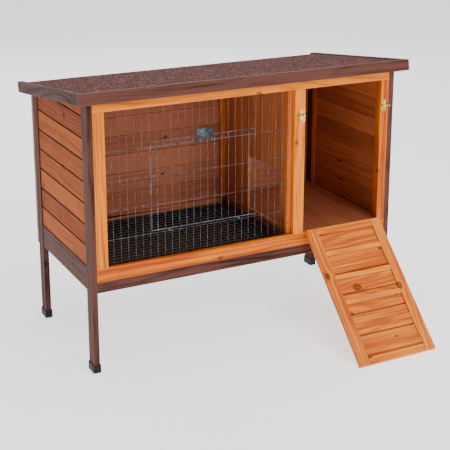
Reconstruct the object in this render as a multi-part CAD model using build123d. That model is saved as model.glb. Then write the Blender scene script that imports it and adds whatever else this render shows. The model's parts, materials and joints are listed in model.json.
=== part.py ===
from build123d import *
import os
from math import asin, atan, atan2, ceil, cos, degrees, hypot, radians, sin

# A single-storey rabbit hutch on four legs: a wire-fronted run on the left, a nest room on the
# right whose front drops down as a ramp, a pull-out pan under the run, and a hinged felted roof.
# Millimetres. X runs to the right, Y to the back, Z up. The pieces are drawn with y = 0 on the
# front faces of the legs, then moved so that the origin is under the middle of the whole hutch.

os.makedirs("parts", exist_ok=True)

# ---- body ----
BODY_WIDTH = 1112.0
BODY_DEPTH = 520.0
ROOF_FALL = 0.125             # drop of the roof for each millimetre of depth
LEG_WIDTH = 20.0
LEG_DEPTH = 44.0
BASE_HEIGHT = 268.0           # underside of the box

# ---- foot caps ----
CAP_WALL = 2.5
CAP_HEIGHT = 27.0
CAP_CLEARANCE = 0.1

# ---- rails and front frame ----
FRONT_RAIL_HEIGHT = 35.0
FRONT_RAIL_THICKNESS = 20.0
SIDE_RAIL_THICKNESS = 18.0
SIDE_RAIL_INSET = 2.0
SILL_RAIL_HEIGHT = 43.0
HEAD_RAIL_HEIGHT = 48.0
OPENING_HEIGHT = 497.0
FRAME_THICKNESS = 16.0
LEFT_STILE_WIDTH = 38.0
MIDDLE_STILE_WIDTH = 39.0
RIGHT_STILE_WIDTH = 31.0
NEST_OPENING_WIDTH = 300.0

# ---- walls ----
PLANK_PITCH = 68.5
PLANK_THICKNESS = 12.0
PLANK_INSET = 4.0
BACK_PLANK_THICKNESS = 15.0
GROOVE = 2.4                  # chamfer along each plank edge; two of them make a V groove
WALL_BATTEN_WIDTH = 18.0
WALL_BATTEN_THICKNESS = 12.0
TOP_RAIL_HEIGHT = 30.0
WALL_TO_ROOF_GAP = 2.2

# ---- floor, partition and pan ----
BATTEN = 18.0                 # square battens round the partition and the floor
LEDGER_HEIGHT = 22.0
NEST_FLOOR_THICKNESS = 12.0
BEARER_WIDTH = 40.0
PARTITION_THICKNESS = 10.0
DOORWAY_START = 100.0         # front edge of the doorway, from the front face
DOORWAY_WIDTH = 224.0
DOORWAY_HEIGHT = 195.0
EDGE_CLEARANCE = 0.5
MESH_FLOOR_THICKNESS = 4.0
MESH_FLOOR_PITCH = 25.0
MESH_FLOOR_BAR = 2.0
RUNNER_WIDTH = 20.0
RUNNER_HEIGHT = 8.0
PAN_WALL = 2.5
PAN_SIDE_CLEARANCE = 3.0
PAN_LIFT = 0.5                # running gap between the pan and its runners
PAN_TOP_GAP = 3.0
PAN_FLANGE_THICKNESS = 4.0
PAN_FLANGE_OVERLAP = 8.0
PAN_GRIP_WIDTH = 120.0
PAN_GRIP_REACH = 12.0

# ---- wire front ----
WIRE_PITCH = 25.0
WIRE_ROW_PITCH = 94.0
WIRE_BAR = 2.0
WIRE_PANEL_THICKNESS = 2.5
WIRE_SIDE_LAP = 24.0          # how far the outer wire stands behind the left stile
WIRE_RIGHT_INSET = 13.0        # last wire, on the batten, from the run opening's right edge
FIRST_ROW_ABOVE_SILL = 83.0
PANEL_LAP = 10.0              # how far the panel runs behind the sill and the head rail
DOOR_COLUMNS = 13             # wire spaces across the door hole
DOOR_ROWS = 3                 # wire spaces up the door hole
DOOR_SIDE_LAP = 22.0
DOOR_TOP_LAP = 18.0
DOOR_HINGE_LIFT = 11.0        # door's bottom wire above the panel wire that its clips hold
DOOR_BAR = 3.0
DOOR_THICKNESS = 2.4
DOOR_GAP = 1.2                # between the door and the panel behind it
DOOR_WIRE_RADIUS = 1.6
PIVOT_CLEARANCE = 0.05
CLIP_LENGTH = 10.0
CLIP_WALL = 1.0
STAPLE_COUNT = 5

# ---- door latch ----
LATCH_WIDTH = 53.0
LATCH_HEIGHT = 36.0
LATCH_THICKNESS = 1.6
LATCH_GAP = 0.4
LATCH_TRAVEL = 10.0
TONGUE_WIDTH = 13.0
TONGUE_GAP = 1.7

# ---- turn latches ----
PLATE_WIDTH = 18.0
PLATE_HEIGHT = 44.0
PLATE_THICKNESS = 1.5
LATCH_BELOW_HEAD = 88.0
LATCH_PIVOT_INSET = 8.0       # pivot to the edge of the opening
LEVER_REACH = 20.0
LEVER_WIDTH = 8.0
LEVER_THICKNESS = 3.0
PIVOT_RADIUS = 2.5
PIVOT_HEAD_RADIUS = 4.5
PIVOT_BOSS_HEIGHT = 2.5
SCREW_HEAD_RADIUS = 2.2
SCREW_HEAD_HEIGHT = 1.0

# ---- ramp door ----
RAMP_GAP = 2.5                # at each side of the closed ramp
RAMP_TOP_GAP = 3.0
RAMP_THICKNESS = 15.0
RAMP_STILE_WIDTH = 38.0
RAMP_RAIL_WIDTH = 25.0
RAMP_PLANK_THICKNESS = 10.0
RAMP_PLANK_COUNT = 6
CLEAT_WIDTH = 18.0
CLEAT_COUNT = 5

# ---- hinges ----
KNUCKLE_RADIUS = 3.2
HINGE_PIN_RADIUS = 1.5
LEAF_THICKNESS = 1.2
LEAF_LENGTH = 24.0
HINGE_LENGTH = 60.0
KNUCKLE_GAP = 0.5
RAMP_HINGE_INSET = 45.0       # hinge centre from the side of the ramp
ROOF_HINGE_INSET = 150.0      # hinge centre from the end of the body

# ---- roof ----
SIDE_OVERHANG = 34.0
FRONT_OVERHANG = 36.0
REAR_OVERHANG = 48.0
FASCIA_THICKNESS = 18.0
FASCIA_HEIGHT = 37.0
FASCIA_STAND = 2.5            # fascia edge above the felt
DECK_THICKNESS = 9.0
DECK_REAR_LAP = 18.0          # roof board beyond the legs at the back
FELT_THICKNESS = 2.5
FELT_INSET = 1.0
ROOF_BATTEN_INSET = 92.0
ROOF_BATTEN_END_GAP = 12.0

# ---- roof hook ----
HOOK_X = 360.0
HOOK_WIRE = 1.4
HOOK_EYE_RADIUS = 4.0
SCREW_EYE_RADIUS = 5.0
HOOK_LENGTH = 76.0
HOOK_BEND_RADIUS = 6.0

# ---- places worked out from the sizes above ----
ROOF_ANGLE = degrees(atan(ROOF_FALL))
ROOF_COS = cos(radians(ROOF_ANGLE))
INNER_X = BODY_WIDTH / 2 - LEG_WIDTH              # between the legs, each side of the middle
SILL = BASE_HEIGHT + FRONT_RAIL_HEIGHT + SILL_RAIL_HEIGHT
HEAD = SILL + OPENING_HEIGHT
HEAD_TOP = HEAD + HEAD_RAIL_HEIGHT
FRONT_HEIGHT = HEAD_TOP + ROOF_FALL * FRAME_THICKNESS + WALL_TO_ROOF_GAP / ROOF_COS  # roof boards, front face
LATCH_LEVEL = HEAD - LATCH_BELOW_HEAD
NEST_RIGHT = INNER_X - RIGHT_STILE_WIDTH
NEST_LEFT = NEST_RIGHT - NEST_OPENING_WIDTH
RUN_RIGHT = NEST_LEFT - MIDDLE_STILE_WIDTH
RUN_LEFT = -INNER_X + LEFT_STILE_WIDTH
WALL_OUTER_X = BODY_WIDTH / 2 - PLANK_INSET
WALL_INNER_X = WALL_OUTER_X - PLANK_THICKNESS
PARTITION_X = RUN_RIGHT + 2.0
BEARER_X = PARTITION_X - BATTEN
LEDGER_TOP = SILL - NEST_FLOOR_THICKNESS
LEDGER_BOTTOM = LEDGER_TOP - LEDGER_HEIGHT
LEDGER_BACK = FRAME_THICKNESS + BATTEN
REAR_LEDGER_FRONT = BODY_DEPTH - BATTEN
WALL_BACK = BODY_DEPTH + BACK_PLANK_THICKNESS


def block(x0, x1, y0, y1, z0, z1):
    """A board between two corners."""
    return Pos((x0 + x1) / 2, (y0 + y1) / 2, (z0 + z1) / 2) * Box(x1 - x0, y1 - y0, z1 - z0)


def rod_x(x0, x1, y, z, radius):
    """A round bar along X."""
    return Pos((x0 + x1) / 2, y, z) * Rot(0, 90, 0) * Cylinder(radius, x1 - x0)


def rod_y(x, y0, y1, z, radius):
    """A round bar along Y."""
    return Pos(x, (y0 + y1) / 2, z) * Rot(90, 0, 0) * Cylinder(radius, y1 - y0)


def rod_z(x, y, z0, z1, radius):
    """A round bar along Z."""
    return Pos(x, y, (z0 + z1) / 2) * Cylinder(radius, z1 - z0)


def on_roof(shape):
    """Moves a shape drawn flat (Y up the slope, z = 0 under the boards) on to the sloping roof."""
    return Pos(0, 0, FRONT_HEIGHT) * Rot(-ROOF_ANGLE, 0, 0) * shape


def roof_underside(y):
    """Height of the underside of the roof boards at a given depth."""
    return FRONT_HEIGHT - ROOF_FALL * y


SIZE = 4 * (BODY_WIDTH + BODY_DEPTH + FRONT_HEIGHT)
UNDER_ROOF = on_roof(block(-SIZE, SIZE, -SIZE, SIZE, -SIZE, -WALL_TO_ROOF_GAP))


def below_roof(shape):
    """Cuts the top of an upright piece to the slope, just clear of the roof."""
    return shape & UNDER_ROOF


def group(shapes):
    """Several separate solids that share one node."""
    return Compound([solid for shape in shapes for solid in shape.solids()])


def grooved_plank(length, width, thickness):
    """A plank along X from x = 0, its face at y = 0 with chamfered long edges, from z = 0 up."""
    outline = Polyline(
        (GROOVE, 0),
        (0, GROOVE),
        (0, thickness),
        (width, thickness),
        (width, GROOVE),
        (width - GROOVE, 0),
        close=True,
    )
    profile = Plane(origin=(0, 0, 0), x_dir=(0, 0, 1), z_dir=(-1, 0, 0)) * make_face(outline)
    return extrude(profile, -length)


# ---------------------------------------------------------------- legs and rails
def leg(side, y0):
    x = side * (BODY_WIDTH - LEG_WIDTH) / 2
    post = block(x - LEG_WIDTH / 2, x + LEG_WIDTH / 2, y0, y0 + LEG_DEPTH, CAP_WALL, SIZE)
    return below_roof(post)


def foot_cap(side, y0):
    x = side * (BODY_WIDTH - LEG_WIDTH) / 2
    half = LEG_WIDTH / 2 + CAP_CLEARANCE
    back = y0 + LEG_DEPTH + CAP_CLEARANCE
    front = y0 - CAP_CLEARANCE
    shell = block(x - half - CAP_WALL, x + half + CAP_WALL, front - CAP_WALL, back + CAP_WALL, 0, CAP_HEIGHT)
    return shell - block(x - half, x + half, front, back, CAP_WALL, CAP_HEIGHT + 1)


def side_rail(side):
    outer = BODY_WIDTH / 2 - SIDE_RAIL_INSET
    inner = outer - SIDE_RAIL_THICKNESS
    rail = block(inner, outer, LEG_DEPTH, BODY_DEPTH - LEG_DEPTH, BASE_HEIGHT, SILL)
    return rail if side > 0 else mirror(rail, Plane.YZ)


# ---------------------------------------------------------------- walls
def side_wall(side):
    """Tongued planks between the two legs of one end, the top ones cut to the roof's slope."""
    length = BODY_DEPTH - 2 * LEG_DEPTH
    planks = []
    top = roof_underside(LEG_DEPTH) - WALL_TO_ROOF_GAP / ROOF_COS
    for i in range(ceil((top - SILL) / PLANK_PITCH)):
        bottom = SILL + i * PLANK_PITCH
        plank = Pos(0, 0, bottom) * grooved_plank(length, PLANK_PITCH, PLANK_THICKNESS)
        plank = Pos(-WALL_OUTER_X, LEG_DEPTH + length, 0) * Rot(0, 0, -90) * plank
        if bottom + PLANK_PITCH > roof_underside(BODY_DEPTH) - 2 * WALL_TO_ROOF_GAP:
            plank = below_roof(plank)
        planks.append(plank if side < 0 else mirror(plank, Plane.YZ))
    return group(planks)


def side_wall_battens():
    """Upright battens that the end planks are nailed to, beside each leg."""
    battens = []
    inner = WALL_INNER_X - WALL_BATTEN_THICKNESS
    for y0 in (LEG_DEPTH, BODY_DEPTH - LEG_DEPTH - WALL_BATTEN_WIDTH):
        batten = below_roof(block(inner, WALL_INNER_X, y0, y0 + WALL_BATTEN_WIDTH, SILL, SIZE))
        battens += [batten, mirror(batten, Plane.YZ)]
    return group(battens)


def back_wall():
    """Planks across the back, the lowest one notched for the pan."""
    top = roof_underside(WALL_BACK) - WALL_TO_ROOF_GAP / ROOF_COS
    count = round((top - BASE_HEIGHT) / PLANK_PITCH)
    pitch = (top - BASE_HEIGHT) / count
    planks = []
    for i in range(count):
        plank = Rot(0, 0, 180) * grooved_plank(BODY_WIDTH, pitch, BACK_PLANK_THICKNESS)
        planks.append(Pos(BODY_WIDTH / 2, WALL_BACK, BASE_HEIGHT + i * pitch) * plank)
    slot = block(PAN_SLOT_LEFT, PAN_SLOT_RIGHT, BODY_DEPTH - 1, WALL_BACK + 1, BASE_HEIGHT - 1, PAN_SLOT_TOP)
    planks[0] = planks[0] - slot
    return group(planks)


# ---------------------------------------------------------------- floor and pan
PAN_LEFT = -INNER_X + PAN_SIDE_CLEARANCE
PAN_RIGHT = BEARER_X - PAN_SIDE_CLEARANCE
PAN_BOTTOM = BASE_HEIGHT + RUNNER_HEIGHT + PAN_LIFT
MESH_FLOOR_BOTTOM = LEDGER_BOTTOM - MESH_FLOOR_THICKNESS
PAN_TOP = MESH_FLOOR_BOTTOM - PAN_TOP_GAP
PAN_SLOT_LEFT = PAN_LEFT - 1.0
PAN_SLOT_RIGHT = PAN_RIGHT + 1.0
PAN_SLOT_TOP = PAN_TOP + 1.5


def floor_ledgers():
    front = block(-INNER_X, INNER_X, FRAME_THICKNESS, LEDGER_BACK, LEDGER_BOTTOM, LEDGER_TOP)
    rear = block(-INNER_X, INNER_X, REAR_LEDGER_FRONT, BODY_DEPTH, LEDGER_BOTTOM, LEDGER_TOP)
    left = block(-INNER_X, -INNER_X + BATTEN, LEDGER_BACK, REAR_LEDGER_FRONT, LEDGER_BOTTOM, LEDGER_TOP)
    return group([front, rear, left])


def grille(x0, x1, y0, y1, columns, rows, bar):
    """Face of a welded mesh, with one hole for each of its cells."""
    xs = [x0] + list(columns) + [x1]
    ys = [y0] + list(rows) + [y1]
    half = bar / 2
    holes = []
    for left, right in zip(xs, xs[1:]):
        for low, high in zip(ys, ys[1:]):
            a, b, c, d = left + half, right - half, low + half, high - half
            if b - a > 0.5 and d - c > 0.5:
                holes.append(Wire.make_polygon([(a, c), (b, c), (b, d), (a, d)]))
    x0, x1, y0, y1 = x0 - half, x1 + half, y0 - half, y1 + half
    outer = Wire.make_polygon([(x0, y0), (x1, y0), (x1, y1), (x0, y1)])
    return Face(outer, holes)


def steps(start, stop, pitch):
    """Evenly spaced places strictly between start and stop."""
    places = []
    place = start + pitch
    while place < stop - pitch / 4:
        places.append(place)
        place += pitch
    return places


def mesh_floor():
    """Welded mesh under the ledgers, for droppings to fall through to the pan."""
    half = MESH_FLOOR_BAR / 2
    x0, x1 = -INNER_X + EDGE_CLEARANCE + half, BEARER_X - EDGE_CLEARANCE - half
    y0, y1 = FRONT_RAIL_THICKNESS + EDGE_CLEARANCE + half, BODY_DEPTH - EDGE_CLEARANCE - half
    face = grille(x0, x1, y0, y1, steps(x0, x1, MESH_FLOOR_PITCH), steps(y0, y1, MESH_FLOOR_PITCH),
                  MESH_FLOOR_BAR)
    return Pos(0, 0, MESH_FLOOR_BOTTOM) * extrude(face, MESH_FLOOR_THICKNESS, dir=(0, 0, 1))


def partition():
    board = block(PARTITION_X, PARTITION_X + PARTITION_THICKNESS, FRAME_THICKNESS, BODY_DEPTH, LEDGER_TOP, SIZE)
    doorway = block(
        PARTITION_X - 1, PARTITION_X + PARTITION_THICKNESS + 1, DOORWAY_START, DOORWAY_START + DOORWAY_WIDTH,
        SILL, SILL + DOORWAY_HEIGHT,
    )
    return below_roof(board) - doorway


def partition_battens():
    """Uprights beside the partition: the front one also carries the wire panel's edge."""
    front_face = FRAME_THICKNESS + PANEL_BACK_OFFSET
    front = block(BEARER_X, PARTITION_X, front_face, front_face + BATTEN, LEDGER_TOP, SIZE)
    rear = block(BEARER_X, PARTITION_X, BODY_DEPTH - BATTEN, BODY_DEPTH, LEDGER_TOP, SIZE)
    return group([below_roof(front), below_roof(rear)])


def nest_floor():
    return block(
        PARTITION_X + PARTITION_THICKNESS + EDGE_CLEARANCE, INNER_X - EDGE_CLEARANCE,
        FRAME_THICKNESS + EDGE_CLEARANCE, BODY_DEPTH - EDGE_CLEARANCE, LEDGER_TOP, SILL,
    )


def pan_runners():
    top = BASE_HEIGHT + RUNNER_HEIGHT
    left = block(-INNER_X, -INNER_X + RUNNER_WIDTH, FRONT_RAIL_THICKNESS, BODY_DEPTH, BASE_HEIGHT, top)
    right = block(BEARER_X - RUNNER_WIDTH, BEARER_X, FRONT_RAIL_THICKNESS, BODY_DEPTH, BASE_HEIGHT, top)
    return group([left, right])


def waste_pan():
    """A shallow tray, in slabs, that slides in from behind until its flange meets the back wall."""
    front = LEDGER_BACK + PAN_SIDE_CLEARANCE
    back = WALL_BACK + 0.3
    flange_back = back + PAN_FLANGE_THICKNESS
    floor_top = PAN_BOTTOM + PAN_WALL
    left, right = PAN_LEFT + PAN_WALL, PAN_RIGHT - PAN_WALL
    middle = (PAN_LEFT + PAN_RIGHT) / 2
    grip_left, grip_right = middle - PAN_GRIP_WIDTH / 2, middle + PAN_GRIP_WIDTH / 2
    flange_left, flange_right = PAN_SLOT_LEFT - PAN_FLANGE_OVERLAP, PAN_SLOT_RIGHT + PAN_FLANGE_OVERLAP
    return group([
        block(PAN_LEFT, PAN_RIGHT, front, back, PAN_BOTTOM, floor_top),
        block(PAN_LEFT, left, front, back, floor_top, PAN_TOP),
        block(right, PAN_RIGHT, front, back, floor_top, PAN_TOP),
        block(left, right, front, front + PAN_WALL, floor_top, PAN_TOP),
        block(left, right, WALL_BACK - PAN_WALL, back, floor_top, PAN_TOP),
        block(flange_left, flange_right, back, flange_back, PAN_BOTTOM, PAN_SLOT_TOP + PAN_FLANGE_OVERLAP),
        block(grip_left, grip_right, flange_back, flange_back + PAN_GRIP_REACH,
              PAN_TOP - PAN_FLANGE_THICKNESS, PAN_TOP),
    ])


# ---------------------------------------------------------------- wire front
PANEL_BACK_OFFSET = 0.2 + WIRE_PANEL_THICKNESS      # back of the panel behind the front frame
PANEL_FRONT = FRAME_THICKNESS + 0.2
FIRST_COLUMN_X = RUN_LEFT - WIRE_SIDE_LAP
LAST_COLUMN_X = RUN_RIGHT - WIRE_RIGHT_INSET
WIRE_SPACES = int((LAST_COLUMN_X - FIRST_COLUMN_X) / WIRE_PITCH + 0.01)
DOOR_FIRST_COLUMN = (WIRE_SPACES - DOOR_COLUMNS) // 2 + 1
FIRST_ROW = SILL + FIRST_ROW_ABOVE_SILL
HOLE_LEFT = FIRST_COLUMN_X + DOOR_FIRST_COLUMN * WIRE_PITCH
HOLE_RIGHT = HOLE_LEFT + DOOR_COLUMNS * WIRE_PITCH
HOLE_BOTTOM = FIRST_ROW
HOLE_TOP = FIRST_ROW + DOOR_ROWS * WIRE_ROW_PITCH
DOOR_LEFT = HOLE_LEFT - DOOR_SIDE_LAP
DOOR_RIGHT = HOLE_RIGHT + DOOR_SIDE_LAP
DOOR_TOP = HOLE_TOP + DOOR_TOP_LAP
DOOR_BACK = PANEL_FRONT - DOOR_GAP
DOOR_FRONT = DOOR_BACK - DOOR_THICKNESS
DOOR_AXIS_Y = DOOR_FRONT - DOOR_WIRE_RADIUS + 0.4
DOOR_AXIS_Z = HOLE_BOTTOM + DOOR_HINGE_LIFT
DOOR_COLUMN_PLACES = [HOLE_LEFT + i * WIRE_PITCH for i in range(DOOR_COLUMNS + 1)]


def wire_pieces(crosses, start, hole_start, hole_stop, stop):
    """Both pieces of a wire that would cross the door's hole, or the whole wire."""
    if crosses:
        return [(start, hole_start), (hole_stop, stop)]
    return [(start, stop)]


def wire_panel():
    """Welded wire panel: rows in front of uprights, with the hole that the wire door covers."""
    half = WIRE_BAR / 2
    low = SILL - PANEL_LAP + WIRE_BAR
    high = HEAD + PANEL_LAP
    middle = PANEL_FRONT + WIRE_PANEL_THICKNESS / 2
    back = PANEL_FRONT + WIRE_PANEL_THICKNESS
    columns = [FIRST_COLUMN_X] + steps(FIRST_COLUMN_X, LAST_COLUMN_X, WIRE_PITCH) + [LAST_COLUMN_X]
    rows = [low] + [FIRST_ROW + i * WIRE_ROW_PITCH for i in range(DOOR_ROWS + 1)] + [high]
    wires = []
    for x in columns:
        crosses = HOLE_LEFT + half < x < HOLE_RIGHT - half
        for z0, z1 in wire_pieces(crosses, low, HOLE_BOTTOM, HOLE_TOP, high):
            wires.append(block(x - half, x + half, middle, back, z0 - half, z1 + half))
    for z in rows:
        crosses = HOLE_BOTTOM + half < z < HOLE_TOP - half
        for x0, x1 in wire_pieces(crosses, FIRST_COLUMN_X, HOLE_LEFT, HOLE_RIGHT, LAST_COLUMN_X):
            wires.append(block(x0 - half, x1 + half, PANEL_FRONT, middle, z - half, z + half))
    return group(wires)


def panel_staples():
    """Wire staples over the end wires: into the batten on the right, the stile's back on the left."""
    staples = []
    low = SILL + 40.0
    gap = (HEAD - SILL - 80.0) / (STAPLE_COUNT - 1)
    panel_back = PANEL_FRONT + WIRE_PANEL_THICKNESS
    for i in range(STAPLE_COUNT):
        z = low + i * gap + 20.0 * sin(2.4 * i)
        x0 = LAST_COLUMN_X
        crown = block(x0 - 5, x0 + 5, PANEL_FRONT - 1, PANEL_FRONT, z - 0.6, z + 0.6)
        for x in (x0 - 4.4, x0 + 4.4):
            crown += block(x - 0.6, x + 0.6, PANEL_FRONT - 1, panel_back, z - 0.6, z + 0.6)
        staples.append(crown)
        x0 = FIRST_COLUMN_X
        crown = block(x0 - 5, x0 + 5, panel_back, panel_back + 1, z - 0.6, z + 0.6)
        for x in (x0 - 4.4, x0 + 4.4):
            crown += block(x - 0.6, x + 0.6, FRAME_THICKNESS, panel_back + 1, z - 0.6, z + 0.6)
        staples.append(crown)
    return group(staples)


def clip_places():
    """Left ends of the two door clips, each in the space between two upright wires."""
    inset = (WIRE_PITCH - CLIP_LENGTH) / 2
    return [DOOR_COLUMN_PLACES[1] + inset, DOOR_COLUMN_PLACES[-3] + inset]


def door_clips():
    """Sheet clips on the panel's wire, each wrapped round the door's bottom wire."""
    clips = []
    outer = DOOR_WIRE_RADIUS + PIVOT_CLEARANCE + CLIP_WALL
    for x in clip_places():
        clip = rod_x(x, x + CLIP_LENGTH, DOOR_AXIS_Y, DOOR_AXIS_Z, outer)
        clip += block(x, x + CLIP_LENGTH, DOOR_AXIS_Y + outer - CLIP_WALL, DOOR_AXIS_Y + outer,
                      HOLE_BOTTOM - 1, DOOR_AXIS_Z)
        clip += block(x, x + CLIP_LENGTH, DOOR_AXIS_Y + outer - CLIP_WALL, PANEL_FRONT,
                      HOLE_BOTTOM - 1, HOLE_BOTTOM + 1)
        clip -= rod_x(x - 1, x + CLIP_LENGTH + 1, DOOR_AXIS_Y, DOOR_AXIS_Z, DOOR_WIRE_RADIUS + PIVOT_CLEARANCE)
        clips.append(clip)
    return group(clips)


def wire_door():
    """Wire door that hinges down on its bottom wire."""
    door = rod_x(DOOR_LEFT - DOOR_BAR / 2, DOOR_RIGHT + DOOR_BAR / 2, DOOR_AXIS_Y, DOOR_AXIS_Z, DOOR_WIRE_RADIUS)
    bars = []
    low = DOOR_AXIS_Z - DOOR_WIRE_RADIUS / 2
    for x in DOOR_COLUMN_PLACES:
        bars.append(block(x - WIRE_BAR / 2, x + WIRE_BAR / 2, DOOR_FRONT, DOOR_BACK, low, DOOR_TOP))
    for x in (DOOR_LEFT, DOOR_RIGHT):
        bars.append(block(x - DOOR_BAR / 2, x + DOOR_BAR / 2, DOOR_FRONT, DOOR_BACK, low, DOOR_TOP))
    for z in [HOLE_BOTTOM + (i + 1) * WIRE_ROW_PITCH for i in range(DOOR_ROWS)]:
        bars.append(block(DOOR_LEFT, DOOR_RIGHT, DOOR_FRONT, DOOR_BACK, z - WIRE_BAR / 2, z + WIRE_BAR / 2))
    half = DOOR_BAR / 2
    bars.append(block(DOOR_LEFT - half, DOOR_RIGHT + half, DOOR_FRONT, DOOR_BACK, DOOR_TOP - half, DOOR_TOP + half))
    return door.fuse(*bars)


LATCH_X = (DOOR_COLUMN_PLACES[6] + DOOR_COLUMN_PLACES[7]) / 2
LATCH_BACK = DOOR_FRONT - LATCH_GAP
LATCH_FRONT = LATCH_BACK - LATCH_THICKNESS
LATCH_BOTTOM = HOLE_TOP + 7.0
LATCH_TOP = LATCH_BOTTOM + LATCH_HEIGHT


def door_latch():
    """Sliding plate, held up at rest; pushed down, its tongue drops behind the panel's wire."""
    x0, x1 = LATCH_X - LATCH_WIDTH / 2, LATCH_X + LATCH_WIDTH / 2
    t0, t1 = LATCH_X - TONGUE_WIDTH / 2, LATCH_X + TONGUE_WIDTH / 2
    shelf = DOOR_TOP + DOOR_BAR / 2 + LATCH_TRAVEL + 1.5
    tongue_front = PANEL_FRONT + WIRE_PANEL_THICKNESS + TONGUE_GAP
    tongue_back = tongue_front + LATCH_THICKNESS
    latch = block(x0, x1, LATCH_FRONT, LATCH_BACK, LATCH_BOTTOM, LATCH_TOP)
    latch += block(t0, t1, LATCH_FRONT, tongue_back, shelf, shelf + LATCH_THICKNESS)
    latch += block(t0, t1, tongue_front, tongue_back, HOLE_TOP + 5, shelf + LATCH_THICKNESS)
    latch += block(x0 + 8, x1 - 8, LATCH_FRONT - 6, LATCH_BACK, LATCH_TOP - LATCH_THICKNESS, LATCH_TOP)
    return latch


def latch_keepers():
    """Two guides on the door's top wires that the latch plate slides in."""
    x1 = LATCH_X - LATCH_WIDTH / 2 - 0.4
    lip_back = LATCH_FRONT - 0.4
    lip_front = lip_back - 1.0
    low, high = HOLE_TOP - WIRE_BAR, DOOR_TOP + DOOR_BAR / 2
    keeper = block(x1 - 4, x1, lip_front, DOOR_FRONT, low, high)
    keeper += block(x1 - 4, x1 + 5, lip_front, lip_back, low, high)
    other = Pos(LATCH_X, 0, 0) * mirror(Pos(-LATCH_X, 0, 0) * keeper, Plane.YZ)
    return group([keeper, other])


# ---------------------------------------------------------------- turn latches
LEFT_PIVOT_X = NEST_LEFT - LATCH_PIVOT_INSET
RIGHT_PIVOT_X = NEST_RIGHT + LATCH_PIVOT_INSET


def turn_latch_plate(pivot_x, side):
    """Back plate on a stile with the pivot riveted in it; side is the way the lever rests."""
    inner_edge = pivot_x - side * (LATCH_PIVOT_INSET - 2.0)
    far_edge = inner_edge + side * PLATE_WIDTH
    low, high = min(inner_edge, far_edge), max(inner_edge, far_edge)
    half = PLATE_HEIGHT / 2
    plate = block(low, high, -PLATE_THICKNESS, 0, LATCH_LEVEL - half, LATCH_LEVEL + half)
    boss_end = -PLATE_THICKNESS - PIVOT_BOSS_HEIGHT
    lever_end = boss_end - 2 * KNUCKLE_GAP - LEVER_THICKNESS
    plate += rod_y(pivot_x, boss_end, 0, LATCH_LEVEL, PIVOT_HEAD_RADIUS)
    plate += rod_y(pivot_x, lever_end - 1.5, 0, LATCH_LEVEL, PIVOT_RADIUS)
    plate += rod_y(pivot_x, lever_end - 1.5, lever_end, LATCH_LEVEL, PIVOT_HEAD_RADIUS - 0.5)
    return plate


def turn_latch_lever(pivot_x, side):
    """Lever that turns half round from its own stile to lie over the closed ramp."""
    back = -PLATE_THICKNESS - PIVOT_BOSS_HEIGHT - KNUCKLE_GAP
    front = back - LEVER_THICKNESS
    tip = pivot_x + side * LEVER_REACH
    low, high = min(pivot_x, tip), max(pivot_x, tip)
    half = LEVER_WIDTH / 2
    lever = block(low, high, front, back, LATCH_LEVEL - half + 1, LATCH_LEVEL + half - 1)
    lever += rod_y(pivot_x, front, back, LATCH_LEVEL, half + 1.5)
    lever += rod_y(tip, front, back, LATCH_LEVEL, half)
    lever += block(tip - 1.2, tip + 1.2, front - 5, back, LATCH_LEVEL - half, LATCH_LEVEL + half)
    return lever - rod_y(pivot_x, front - 6, 0, LATCH_LEVEL, PIVOT_RADIUS + PIVOT_CLEARANCE)


def latch_screws():
    screws = []
    for pivot_x, side in ((LEFT_PIVOT_X, -1), (RIGHT_PIVOT_X, 1)):
        x = pivot_x + side * (PLATE_WIDTH / 2 - LATCH_PIVOT_INSET + 2.0)
        for z in (LATCH_LEVEL - PLATE_HEIGHT / 2 + 6, LATCH_LEVEL + PLATE_HEIGHT / 2 - 6):
            screws.append(rod_y(x, -PLATE_THICKNESS - SCREW_HEAD_HEIGHT, -PLATE_THICKNESS, z, SCREW_HEAD_RADIUS))
    return group(screws)


# ---------------------------------------------------------------- hinges
KNUCKLE = (HINGE_LENGTH - 2 * KNUCKLE_GAP) / 3


def knuckle_spans(middle_one):
    """X spans of the outer two knuckles, or of the middle one, about x = 0."""
    half = HINGE_LENGTH / 2
    if middle_one:
        return [(-KNUCKLE / 2, KNUCKLE / 2)]
    return [(-half, -half + KNUCKLE), (half - KNUCKLE, half)]


def hinge_leaf(middle_one, bore):
    """Leaf about an axis on X: its plate hangs down, flat against a face behind the axis."""
    half = HINGE_LENGTH / 2
    plate_front = KNUCKLE_RADIUS - LEAF_THICKNESS
    leaf = block(-half, half, plate_front, KNUCKLE_RADIUS, -LEAF_LENGTH, 0)
    room = KNUCKLE_RADIUS + KNUCKLE_GAP
    for x0, x1 in knuckle_spans(not middle_one):
        leaf -= block(x0 - KNUCKLE_GAP, x1 + KNUCKLE_GAP, 0, KNUCKLE_RADIUS + 1, -room, 1)
    for x0, x1 in knuckle_spans(middle_one):
        leaf += rod_x(x0, x1, 0, 0, KNUCKLE_RADIUS)
    for x in (-half / 2, half / 2):
        leaf -= rod_y(x, 0, KNUCKLE_RADIUS + 1, -LEAF_LENGTH + 7, 2.0)
    return leaf - rod_x(-half - 1, half + 1, 0, 0, bore)


def hinge_pin():
    half = HINGE_LENGTH / 2
    pin = rod_x(-half, half, 0, 0, HINGE_PIN_RADIUS)
    pin += rod_x(-half - 1.2, -half, 0, 0, HINGE_PIN_RADIUS + 0.9)
    return pin + rod_x(half, half + 1.2, 0, 0, HINGE_PIN_RADIUS + 0.9)


FIXED_BORE = HINGE_PIN_RADIUS
MOVING_BORE = HINGE_PIN_RADIUS + PIVOT_CLEARANCE


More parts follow.
